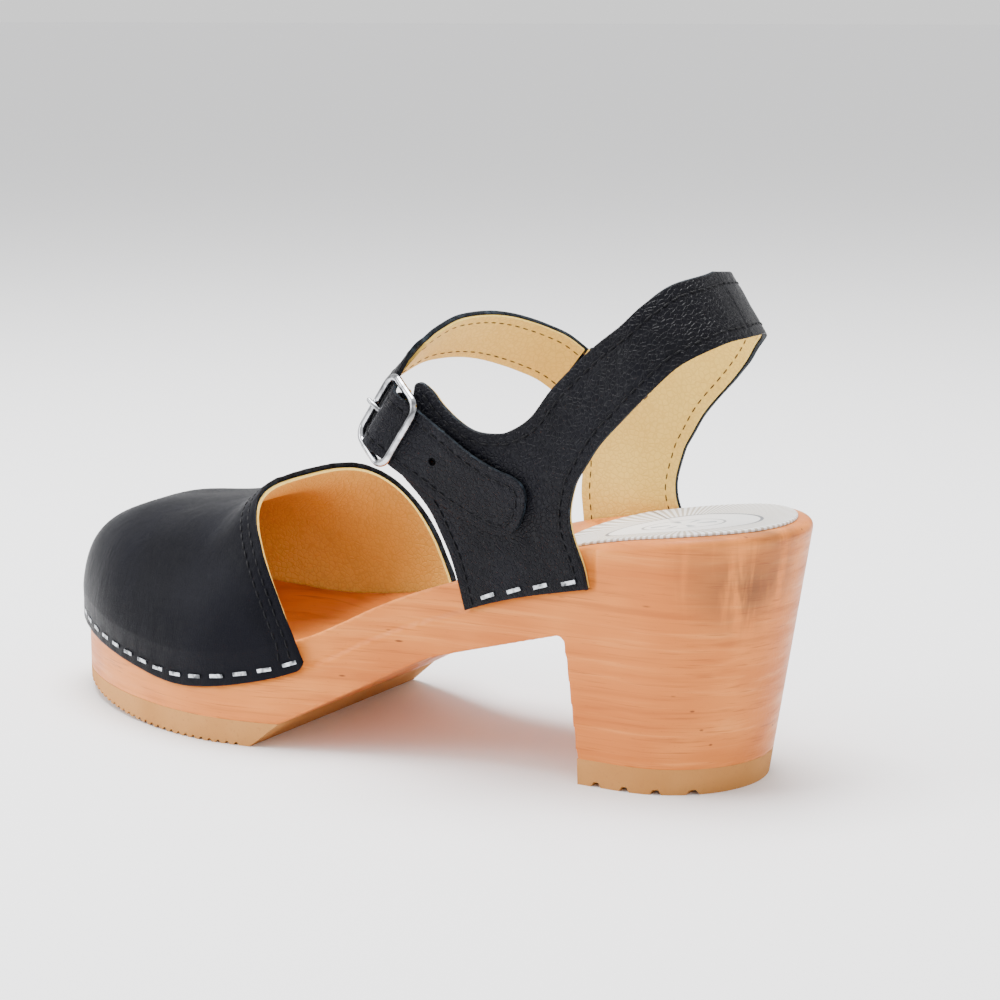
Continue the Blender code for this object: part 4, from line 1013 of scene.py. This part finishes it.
def stitches(name, paths, material, facing=1.0):
    """Short threads along paths of (points, outward normals); facing is -1 for threads on the inner side."""
    u = np.array([-1.0, -0.86, -0.5, 0.0, 0.5, 0.86, 1.0])
    thick = np.array([0.15, 0.7, 1.0, 1.0, 1.0, 0.7, 0.15])
    sides = 6
    turn = np.linspace(0, 2 * math.pi, sides, endpoint=False)
    shape = [range(sides)[::-1], range((len(u) - 1) * sides, len(u) * sides)]
    for i in range(0, (len(u) - 1) * sides, sides):
        for j in range(sides):
            k = (j + 1) % sides
            shape.append((i + j, i + k, i + sides + k, i + sides + j))
    verts, faces = [], []
    for points, normals in paths:
        s = run_of(points)
        count = int(s[-1] / STITCH_PITCH)
        at = (np.arange(count) + 0.5) * s[-1] / count
        middle = read_off(at, s, points)
        out = unit(read_off(at, s, normals)) * facing
        way = unit(read_off(at, s, np.gradient(points, axis=0)))
        aside = unit(np.cross(way, out))
        for c, w, o, a in zip(middle, way, out, aside):
            ring = c + w * (u * STITCH_LENGTH / 2)[:, None, None] + np.zeros((1, sides, 1))
            ring = ring + a * (np.cos(turn)[None, :] * thick[:, None] * STITCH_RADIUS)[..., None]
            ring = ring + o * (np.sin(turn)[None, :] * thick[:, None] * STITCH_RADIUS
                               - (u**2 * 0.00016)[:, None] + 0.00001)[..., None]
            start = len(verts) * len(u) * sides
            faces += [[v + start for v in face] for face in shape]
            verts.append(ring.reshape(-1, 3))
    mesh = bpy.data.meshes.new(name)
    mesh.from_pydata(np.concatenate(verts).tolist(), [], faces)
    return smooth(piece(name, in_mesh(mesh), material), 80)


def groove(points, row):
    """Depth of the dent that a row of stitches pulls into the leather, at points of it."""
    gap, index = nearest(points, row)
    beat = 0.62 + 0.38 * np.cos(2 * math.pi * index * ROW_STEP / STITCH_PITCH + math.pi)
    return STITCH_GROOVE * np.exp(-((gap / 0.0007) ** 2)) * (0.55 + 0.45 * beat)


def in_row(line):
    """A line of stitching, its points ROW_STEP apart."""
    return evenly(line, int(run_of(line)[-1] / ROW_STEP))


def edge_fall(distance, radius=EDGE_ROUND):
    """How far a rounded edge drops at a distance from it."""
    return radius - np.sqrt(np.clip(radius**2 - (radius - np.clip(distance, 0, radius)) ** 2, 0, None))


# Quarters


NEAR_EDGE = (0.0, 0.00008, 0.0002, 0.0004)


def graded(length, count):
    """Shares along lines of these lengths, close together at both ends."""
    near = np.array(NEAR_EDGE)[:, None]
    last = NEAR_EDGE[-1]
    middle = np.linspace(0, 1, count)[1:-1, None]
    inner = last + (length - 2 * last) * middle
    return np.concatenate([near + 0 * length, inner, length - near[::-1]]) / length


def quarter_flat(side):
    """Flat coordinates of one quarter's grid, and its lower and upper edges."""
    low, high = half_quarter(*QUARTERS[side], side, (90, 80, 50, 200))
    share = graded(np.linalg.norm(high - low, axis=1), 70)
    return low + (high - low) * share[..., None], low, high


def quarter_rows(side):
    """The two rows of stitching on one quarter, in flat coordinates."""
    front, top, saddle = QUARTERS[side]
    front_edge = smooth_line(front, 60)
    if side < 0:
        front_edge = np.vstack([smooth_line([top[0], front[0]], 20)[:-1], front_edge])
    edges = [front_edge, smooth_line(REAR, 60), smooth_line([*top, *saddle, *HEEL_TOP], 60)]
    rows = []
    for edge, inside in zip(edges, ((0.085, 0.075), (0.075, 0.085), (0.060, 0.107))):
        row = inset_line(edge, inside, STITCH_INSET)
        for other in edges:
            if other is not edge:
                row = row[distance_to(row, other) > STITCH_INSET * 0.98]
        (rear_q, rear_z), (front_q, front_z) = REAR[0], front[-1]
        floor = np.interp(row[:, 0], (rear_q, front_q), (rear_z, front_z))
        near_base = (row[:, 0] > rear_q - 0.002) & (row[:, 1] < floor + 0.0012)
        rows.append(in_row(row[~near_base]))
    return rows


def quarter_wave(flat):
    """Gentle unevenness of the upper, inwards only, away from the wood."""
    clear = smoothstep((flat[..., 1] - 0.075) / 0.02)
    return -0.0005 * clear * (0.5 + 0.5 * wobble(flat, 0.030, 5))


def staple_points(prefix):
    """Middles of the staples' crowns in the curves' own coordinates."""
    points = []
    for name in sorted(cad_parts):
        if name.startswith(prefix):
            low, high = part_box(name)
            points.append(np.array((low + high) / 2 - SHIFT))
    return np.array(points)


def quarter_layers(side, low_out, high_out, carved):
    """Outer and inner faces of one quarter's leather, which is carved, or of its lining, which is not."""
    flat, low, high = quarter_flat(side)
    if not carved:
        middle = (low + high) / 2
        shorter = 1 - LINING_INSET / np.linalg.norm(high - low, axis=1)[:, None]
        flat = middle + (flat - middle) * shorter
    edge = np.vstack([low, high[::-1]])
    distance = distance_to(flat, evenly(np.vstack([edge, edge[:1]]), 2400))
    wave = quarter_wave(flat)
    out = high_out + wave - edge_fall(distance)
    if carved:
        for row in quarter_rows(side):
            out = out - groove(flat, row)
        out = out + 0.00010 * wobble(flat, 0.006, 9) * smoothstep(distance / 0.002) - 0.00008
    outer = ankle(side * flat[..., 0], flat[..., 1], out)
    inner = ankle(side * flat[..., 0], flat[..., 1], low_out + wave)
    if carved:
        near = distance_to(outer, staple_points("outer_quarter" if side < 0 else "inner_quarter"))
        outer[..., 1] -= side * 0.0003 * np.exp(-((near / STAPLE_PULL) ** 2))
    return outer, inner


def both_quarters(name, low_out, high_out, carved, *materials):
    """One sheet of the upper from the outer quarter's front round the heel to the inner quarter's."""
    sides = [quarter_layers(side, low_out, high_out, carved) for side in (-1, 1)]
    outer, inner = (np.concatenate([left, right[:, -2::-1]], axis=1) for left, right in zip(*sides))
    return smooth(slab(name, outer, inner, *materials), 50)


def quarter_threads(name, out, facing, material):
    """Both quarters' stitches, at a distance out from the upper's inner side."""
    paths = []
    for side in (-1, 1):
        for row in quarter_rows(side):
            wave = quarter_wave(row)
            points = ankle(side * row[:, 0], row[:, 1], out + wave)
            away = ankle(side * row[:, 0], row[:, 1], out + wave + 0.001)
            paths.append((points, unit(away - points)))
    return stitches(name, paths, material, facing)


# Vamp


VAMP_ROWS = (0.0030, 0.0060)
SKIRT = 16


def vamp_grid(inset=0.0):
    """Rows from the toe to the rim, or to an inset short of it, of points over the foot from edge to edge."""
    across = np.linspace(-1, 1, 241)
    phi = np.radians(90) * np.sign(across) * np.abs(across) ** 0.9
    rim = 0.985
    t = np.linspace(0, 1, 150)[:-1] ** 1.5 * rim
    t = np.concatenate([t, rim + (1 - rim) * np.linspace(0, 1, 14) ** 0.6])
    phi, t = np.meshgrid(phi, t * (1 - inset / (VAMP_LATERAL_X - TOE_X)))
    dome = vamp(phi, t)
    dome[0] = dome[0, 0]
    share = graded(np.array([LAP]), SKIRT)[:-1, 0]
    outer, inner = skirt(dome[:, 0], -1, share), skirt(dome[:, -1], 1, share)
    return np.concatenate([outer, dome, inner[:, ::-1]], axis=1)


def skirt(rim, side, share):
    """The vamp below the line of points rim, on one side; share runs from 0 at its lower edge to 1."""
    low = skirt_point(rim[:, 0], side, 0.0)
    end = np.clip(1 - (low[-1, 0] - low[:, 0]) / CORNER_ROUND, 0, 1)
    low_z = low[:, 2] + CORNER_ROUND * (1 - np.sqrt(1 - end**2))
    flat = np.stack([skirt_point(rim[:, 0], side, s) for s in share], 1)
    flat[..., 2] = low_z[:, None] + (rim[:, 2] - low_z)[:, None] * share
    return flat


def skirt_point(x, side, share):
    """The vamp's skirt below the rim at x; its rear corners reach further back than the rim does."""
    corner = VAMP_LATERAL_X if side < 0 else VAMP_MEDIAL_X
    x = x + CORNER_REACH * (1 - share) * smoothstep((x - corner) / 0.010 + 1)
    middle, half = vamp_sides(x)
    y = middle + side * half
    low = rim_z(x, y) - lap(x) + GAP
    return np.stack([x, y, low + (lap(x) - GAP) * share], -1)


def vamp_row(depth):
    """A line at one distance from the vamp's rim, from lower edge to lower edge, and its normals."""
    rows, columns, tail = 120, 301, 12
    phi, t = np.meshgrid(np.radians(np.linspace(-90, 90, columns)), np.linspace(1, 0.75, rows))
    grid = vamp(phi, t)
    line, normal = [], []
    for j in range(columns):
        s = run_of(grid[:, j])
        line.append(read_off([depth], s, grid[:, j])[0])
        k = int(np.clip(np.searchsorted(s, depth), 1, rows - 2))
        a = grid[k + 1, j] - grid[k - 1, j]
        b = grid[k, min(j + 1, columns - 1)] - grid[k, max(j - 1, 0)]
        normal.append(np.cross(a, b))
    line, normal = np.array(line), unit(np.array(normal))
    top = columns // 2
    normal = normal * (1 if normal[top] @ (line[top] - np.array((line[top][0], 0.0, 0.03))) > 0 else -1)
    ends = [np.array([skirt_point(p[0], side, share) for share in np.linspace(0.46, 0.97, tail)])
            for p, side in ((line[0], -1), (line[-1], 1))]
    line = np.vstack([ends[0], line, ends[1][::-1]])
    normal = np.vstack([np.tile([0, -1.0, 0], (tail, 1)), normal, np.tile([0, 1.0, 0], (tail, 1))])
    line, normal = evenly_with(line, normal, int(run_of(line)[-1] / ROW_STEP))
    return line, unit(normal)


def vamp_surface(name, inset=0.0):
    """The vamp's outside as an open mesh facing outwards."""
    grid = vamp_grid(inset)
    rows, columns = grid.shape[:2]
    mesh = build(name, grid.reshape(-1, 3), grid_faces(rows, columns), merge=2e-6)
    return facing_out(mesh, Vector((-0.07, 0, 0.04)))


def carve_vamp(mesh):
    """Rounds the rim, and presses in the stitch rows, folds and staples."""
    count = len(mesh.vertices)
    points, normals = np.empty(count * 3), np.empty(count * 3)
    mesh.vertices.foreach_get("co", points)
    mesh.vertices.foreach_get("normal", normals)
    points, normals = points.reshape(-1, 3), normals.reshape(-1, 3)
    grid = vamp_grid()
    rim = evenly(grid[-1], 1500)
    lower = np.concatenate([evenly(grid[:, 0], 1200), evenly(grid[:, -1], 1200)])
    to_rim, to_low = distance_to(points, rim), distance_to(points, lower)
    depth = edge_fall(to_rim) + edge_fall(to_low)
    for row in VAMP_ROWS:
        depth += groove(points, vamp_row(row)[0]) * 1.25
    band = smoothstep(1 - to_rim / 0.012)
    depth += band * 0.00016 * wobble(points * (1.0, 1.0, 0.55), 0.0065, 21)
    depth -= 0.00018 * np.sin(np.clip(to_rim / 0.0030, 0, 1) * math.pi)
    depth -= 0.00016 * np.sin(np.clip((to_rim - 0.0030) / 0.0030, 0, 1) * math.pi)
    away = smoothstep(to_rim / 0.02)
    depth += away * 0.00022 * wobble(points, 0.024, 33) * smoothstep(to_low / 0.01)
    near = distance_to(points, staple_points("vamp_staple"))
    depth += 0.00034 * np.exp(-((near / STAPLE_PULL) ** 2))
    depth -= 0.00012 * smoothstep(1 - to_low / 0.006) * (1 - np.exp(-((near / 0.0034) ** 2)))
    moved = points - normals * depth[:, None]
    mesh.vertices.foreach_set("co", moved.ravel())
    mesh.update()


def thickened(obj, low, high):
    """Thickens an open surface between two distances along its normals."""
    offset = 2 * high / (high - low) - 1
    return applied(modified(obj, "SOLIDIFY", thickness=high - low, offset=offset, use_even_offset=False,
                            material_offset_rim=2, material_offset=1))


def vamp_upper():
    mesh = vamp_surface("clog_vamp")
    carve_vamp(mesh)
    return smooth(thickened(piece("clog_vamp", mesh, SMOOTH, CUT_EDGE, CUT_EDGE), -LEATHER, 0.0), 50)


def vamp_inner():
    mesh = vamp_surface("clog_vamp_lining", LINING_INSET)
    return smooth(thickened(piece("clog_vamp_lining", mesh, *[CREAM] * 3), -UPPER, -LEATHER - LINING_GAP), 50)


# Strap


def strap_half(s, total):
    """Half the strap's width at distances along it, narrowing round the tip."""
    u = np.clip(1 - (total - s) / TIP_LENGTH, 0, 0.999)
    return STRAP_WIDTH / 2 * (1 - u**2.6) ** (1 / 2.6)


def strap_leather():
    """The strap's leather from root to tip, with its stitch grooves and holes."""
    line, sides, out, s = whole_strap()
    total = s[-1]
    half = strap_half(s, total)
    width = 2 * half
    share = graded(np.maximum(width, 0.0012), 44)
    w = -half[None] + share * width[None]
    flat = np.stack([np.broadcast_to(s[None], w.shape), w], -1)
    distance = distance_to(flat, evenly(strap_edge(s, half), 3000))
    drop = edge_fall(distance) + groove(flat, strap_row(s, half))
    drop = drop - 0.00008 * wobble(flat, 0.006, 4) * smoothstep(distance / 0.002)
    base = line[None] + sides[None] * w[..., None]
    outer = base + out[None] * (LEATHER / 2 - drop)[..., None]
    inner = base - out[None] * (LEATHER / 2 - edge_fall(distance) * 0.7)[..., None]
    strap = slab("clog_strap", outer, inner, GRAIN, CUT_EDGE, CUT_EDGE)
    cut(strap, hole_cutter(line, out, s))
    return smooth(strap, 50)


def strap_edge(s, half):
    """The strap's outline in flat coordinates: down one edge, round the tip and back."""
    return np.vstack([np.stack([s, half], 1), np.stack([s, -half], 1)[::-1]])


def strap_row(s, half):
    return in_row(inset_line(strap_edge(s, half), (s[len(s) // 2], 0.0), STITCH_INSET))


def on_strap(row, level, line, sides, out, s):
    """Points on the strap at (distance along, across), at a level above its middle, with their normals."""
    middle, aside, normal = (read_off(row[:, 0], s, values) for values in (line, sides, out))
    normal = unit(normal)
    return middle + aside * row[:, 1:] + normal * level, normal


def strap_threads(name, level, facing, reach, material):
    """Threads along the strap's edges: all the way round, or only over a reach (from, to) of its length."""
    line, sides, out, s = whole_strap()
    row = strap_row(s, strap_half(s, s[-1]))
    if reach is None:
        runs = [row]
    else:
        keep = (row[:, 0] > reach[0]) & (row[:, 0] < reach[1])
        runs = [row[keep & (row[:, 1] > 0)], row[keep & (row[:, 1] < 0)]]
    paths = [on_strap(r, level, line, sides, out, s) for r in runs]
    return stitches(name, paths, material, facing)


def hole_cutter(line, out, s):
    """Round bars for the hole that the prong goes through and the spare one in the tail."""
    prong_place = int(np.argmin(np.linalg.norm(line - np.array(prong_hole_point()), axis=1)))
    spare_place = int(np.argmin(np.abs(s - (s[-1] - TIP_TO_HOLE))))

    def bars(bm):
        for i, radius in ((prong_place, PRONG_HOLE_RADIUS), (spare_place, HOLE_RADIUS)):
            way = Vector(out[i]).to_track_quat("Z", "Y").to_matrix().to_4x4()
            bmesh.ops.create_cone(bm, cap_ends=True, segments=28, radius1=radius, radius2=radius, depth=0.006,
                                  matrix=Matrix.Translation(Vector(line[i])) @ way)

    return piece("hole_cutter", in_mesh("hole_cutter", bars))


def strap_lining_reach():
    """Where the strap's lining starts and ends, as distances from the strap's root."""
    line, _, _, s = whole_strap()
    last = np.argmin(np.linalg.norm(line - arch_line()[0][-3], axis=1))
    return STRAP_LINING_START, s[last]


def strap_inner():
    """The strap's lining, which ends before the buckle."""
    line, sides, out, s = whole_strap()
    start, end = strap_lining_reach()
    keep = (s > start) & (s < end)
    half = STRAP_WIDTH / 2 - GAP
    share = graded(np.full(keep.sum(), 2 * half), 30)
    w = -half + share * 2 * half
    base = line[keep][None] + sides[keep][None] * w[..., None]
    fall = edge_fall(half - np.abs(w), 0.0002)
    level = -LEATHER / 2 - LINING_GAP
    outer = base + out[keep][None] * level
    inner = base + out[keep][None] * (level - LINING + fall)[..., None]
    return smooth(slab("clog_strap_lining", outer, inner, *[CREAM] * 3), 50)


# Buckle


def tube(name, points, radius, material, cyclic=False, taper=()):
    """A round wire along points; taper is the share of its radius at each."""
    curve = bpy.data.curves.new(name, "CURVE")
    curve.dimensions = "3D"
    spline = curve.splines.new("POLY")
    spline.points.add(len(points) - 1)
    for p, co in zip(spline.points, points):
        p.co = (*co, 1.0)
    for p, share in zip(spline.points, taper):
        p.radius = share
    spline.use_cyclic_u = cyclic
    curve.bevel_depth = radius
    curve.bevel_resolution = 6
    curve.use_fill_caps = True
    obj = bpy.data.objects.new(name, curve)
    bpy.context.scene.collection.objects.link(obj)
    graph = bpy.context.evaluated_depsgraph_get()
    mesh = in_mesh(bpy.data.meshes.new_from_object(obj.evaluated_get(graph)), merged(1e-6))
    bpy.data.objects.remove(obj)
    mesh.materials.clear()
    return smooth(piece(name, mesh, material), 60)


def frame_ring(corner_steps=14):
    """The buckle's wire: a bowed rectangle with round corners."""
    along, bars, out = frame_axes()
    centre = at_buckle(0.0, 0.0)
    half_length = buckle_half()
    points = []
    for quarter, (sa, sb) in enumerate(((1, 1), (-1, 1), (-1, -1), (1, -1))):
        for i in range(corner_steps + 1):
            turn = math.pi / 2 * (quarter + i / corner_steps)
            points.append((sa * (half_length - FRAME_CORNER) + FRAME_CORNER * math.cos(turn),
                           sb * (FRAME_HALF_WIDTH - FRAME_CORNER) + FRAME_CORNER * math.sin(turn)))
        if quarter in (0, 2):
            points += [(sa * f * (half_length - FRAME_CORNER), sb * FRAME_HALF_WIDTH)
                       for f in (0.75, 0.5, 0.25, 0.0, -0.25, -0.5, -0.75)]
    ring = []
    for a, b in points:
        bow = FRAME_BOW * (1 - (a / half_length) ** 2)
        ring.append(centre + along * a + bars * b + out * bow)
    return ring


def wire_frame():
    """The buckle's wire with its middle bar."""
    made = tube("clog_buckle", frame_ring(), WIRE_RADIUS, CHROME, cyclic=True)
    bars = frame_axes()[1]
    ends = [bar_middle() - bars * FRAME_HALF_WIDTH, bar_middle() + bars * FRAME_HALF_WIDTH]
    cut(made, tube("centre_bar", ends, BAR_RADIUS, CHROME), "UNION")
    return smooth(made, 60)


def prong():
    """The prong: an eye round the middle bar and a pin that rests on the front bar."""
    eye = BAR_RADIUS + GAP + PRONG_RADIUS
    half = buckle_half()
    rest = WIRE_RADIUS + PRONG_RADIUS + GAP / 2
    line = round_bar(0.0, -BAR_DROP, eye, (*range(-30, 223, 36), 255))
    line += [at_buckle(-0.0029, -0.0006), prong_hole_point(), at_buckle(-half + 0.0018, 0.0014)]
    line += [at_buckle(-half, rest), at_buckle(-half - 0.0016, rest + 0.0001)]
    points = evenly(smooth_line(line, 12), 90)
    taper = np.ones(90)
    taper[-4:] = (0.95, 0.85, 0.65, 0.3)
    taper[:4] = (0.3, 0.65, 0.85, 0.95)
    return tube("clog_buckle_prong", points, PRONG_RADIUS, CHROME, taper=taper)


def tab_point(a, out, side):
    """The point out from the upper's inner side beside the place a along the buckle, moved by side."""
    flat = at_buckle(a, 0.0) + side
    q = float(through(ANKLE_CENTRE, flat.z)) + float(through(ANKLE_RADIUS, flat.z)) * math.pi / 2 - flat.x
    return Vector(ankle(np.array(-q), np.array(flat.z), out))


def buckle_loop():
    """The leather loop from the outer quarter round the centre bar and back inside the lining."""
    radius = BAR_RADIUS + GAP + 0.0001 + TAB_THICKNESS / 2
    inside = -GAP - 0.0002 - TAB_THICKNESS / 2
    rows = []
    for share in np.linspace(-1, 1, 40):
        side = frame_axes()[1] * (share * TAB_WIDTH / 2)
        line = [tab_point(a, UPPER - LEATHER / 2, side) for a in (TAB_START, TAB_START - 0.0012)]
        line += [p + side for p in round_bar(0.0, -BAR_DROP, radius, (20, -25, -70, -115, -160, -200))]
        line += [tab_point(a, inside, side) for a in (0.0058, 0.0094, TAB_LEG)]
        rows.append(smooth_line(line, 10))
    grid = np.array(rows)
    mesh = build("clog_buckle_tab", grid.reshape(-1, 3), grid_faces(*grid.shape[:2]))
    tab = piece("clog_buckle_tab", facing_out(mesh, bar_middle()), GRAIN, GRAIN, CUT_EDGE)
    thickened(tab, -TAB_THICKNESS / 2, TAB_THICKNESS / 2)
    placed = Matrix.Translation(at_buckle(-0.0010, -0.0011)) @ Matrix(frame_axes()).transposed().to_4x4()
    slot = placed @ Matrix.Diagonal((0.0082, 0.0040, 0.0080, 1.0))
    block = in_mesh("prong_slot", lambda bm: bmesh.ops.create_cube(bm, size=1.0, matrix=slot))
    cut(tab, piece("prong_slot", block))
    return smooth(tab, 50)


# Assembly


def fixed(obj, slot, *nodes):
    """A piece on the shoe itself that stands for CAD nodes."""
    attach(obj, "clog")
    if nodes:
        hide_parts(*nodes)


def bending(obj, slot, *nodes):
    """A piece of the strap, with its placement baked into its mesh, that stands for CAD nodes."""
    line = whole_strap()[0]
    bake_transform(obj)
    if nodes:
        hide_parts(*nodes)


fixed(wooden_sole(), "wood", "wood_sole")
fixed(front_rubber(), "rubber", "front_outsole")
fixed(heel_rubber(), "rubber", "heel_lift")
fixed(printed_pad(), "pad", "heel_pad")
fixed(vamp_upper(), "leather", "vamp_leather")
fixed(vamp_inner(), "lining", "vamp_lining")
fixed(stitches("clog_vamp_thread", [vamp_row(d) for d in VAMP_ROWS], DARK_THREAD), "leather")
fixed(both_quarters("clog_quarter", LINING + LINING_GAP, UPPER, True, GRAIN, CUT_EDGE, CUT_EDGE), "leather",
      "quarter_leather")
fixed(both_quarters("clog_quarter_lining", 0.0, LINING, False, *[CREAM] * 3), "lining", "quarter_lining")
fixed(quarter_threads("clog_quarter_thread", UPPER - THREAD_SINK, 1.0, DARK_THREAD), "leather")
fixed(quarter_threads("clog_quarter_lining_thread", 0.00010, -1.0, LINING_THREAD), "lining")
bending(strap_leather(), "leather", "instep_strap_leather", "strap_end")
bending(strap_inner(), "lining", "instep_strap_lining")
bending(strap_threads("clog_strap_thread", LEATHER / 2 - THREAD_SINK, 1.0, None, DARK_THREAD), "leather")
bending(strap_threads("clog_strap_lining_thread", -LEATHER / 2 - LINING - 0.00002, -1.0, strap_lining_reach(),
                      LINING_THREAD), "lining")
fixed(buckle_loop(), "leather", "buckle_tab")
buckle = wire_frame()
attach(buckle, "buckle")
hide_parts("buckle_frame")
pin = prong()
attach(pin, "prong")
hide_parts("buckle_prong")
for name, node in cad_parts.items():
    if "staple" in name:
        node.data.materials.clear()
        node.data.materials.append(STEEL)
        modified(node, "BEVEL", width=0.00014, segments=2, limit_method="ANGLE")

# Studio


def backdrop():
    """A pale floor that runs far past the shoe."""
    mesh = in_mesh("floor", lambda bm: bmesh.ops.create_grid(bm, x_segments=2, y_segments=2, size=40.0))
    floor = bpy.data.objects.new("floor", mesh)
    bpy.context.scene.collection.objects.link(floor)
    mesh.materials.append(Recipe("studio_floor", (0.93, 0.93, 0.94), 0.7).material)


def area_light(name, place, target, size, watts):
    data = bpy.data.lights.new(name, "AREA")
    data.shape = "RECTANGLE"
    data.size, data.size_y = size
    data.energy = watts
    lamp = bpy.data.objects.new(name, data)
    bpy.context.scene.collection.objects.link(lamp)
    lamp.location = place
    lamp.rotation_euler = (Vector(target) - Vector(place)).to_track_quat("-Z", "Y").to_euler()


backdrop()
MIDDLE = (0.0, 0.0, 0.07)
area_light("overhead", (-0.15, 0.10, 1.25), MIDDLE, (0.9, 0.7), 40)
area_light("left_window", (-1.05, -0.75, 0.75), MIDDLE, (0.9, 0.9), 16)
area_light("right_fill", (1.2, -0.6, 0.6), MIDDLE, (0.9, 0.9), 1.5)

world = bpy.data.worlds.new("studio")
bpy.context.scene.world = world
world.use_nodes = True
sky = world.node_tree.nodes["Background"].inputs
sky["Color"].default_value = (1.0, 1.0, 1.0, 1)
sky["Strength"].default_value = 1.15

AZIMUTH, ELEVATION, DISTANCE = math.radians(30.6), math.radians(10.8), 0.750
LOOK_AT = Vector((0.028, 0.0, 0.072)) + SHIFT
camera_data = bpy.data.cameras.new("camera")
camera_data.sensor_width = 36.0
camera_data.lens = 92.2
camera = bpy.data.objects.new("camera", camera_data)
bpy.context.scene.collection.objects.link(camera)
back = Vector((math.sin(AZIMUTH) * math.cos(ELEVATION), -math.cos(AZIMUTH) * math.cos(ELEVATION),
               math.sin(ELEVATION)))
camera.location = LOOK_AT + back * DISTANCE
camera.rotation_mode = "QUATERNION"
camera.rotation_quaternion = (-back).to_track_quat("-Z", "Y")
bpy.context.scene.camera = camera
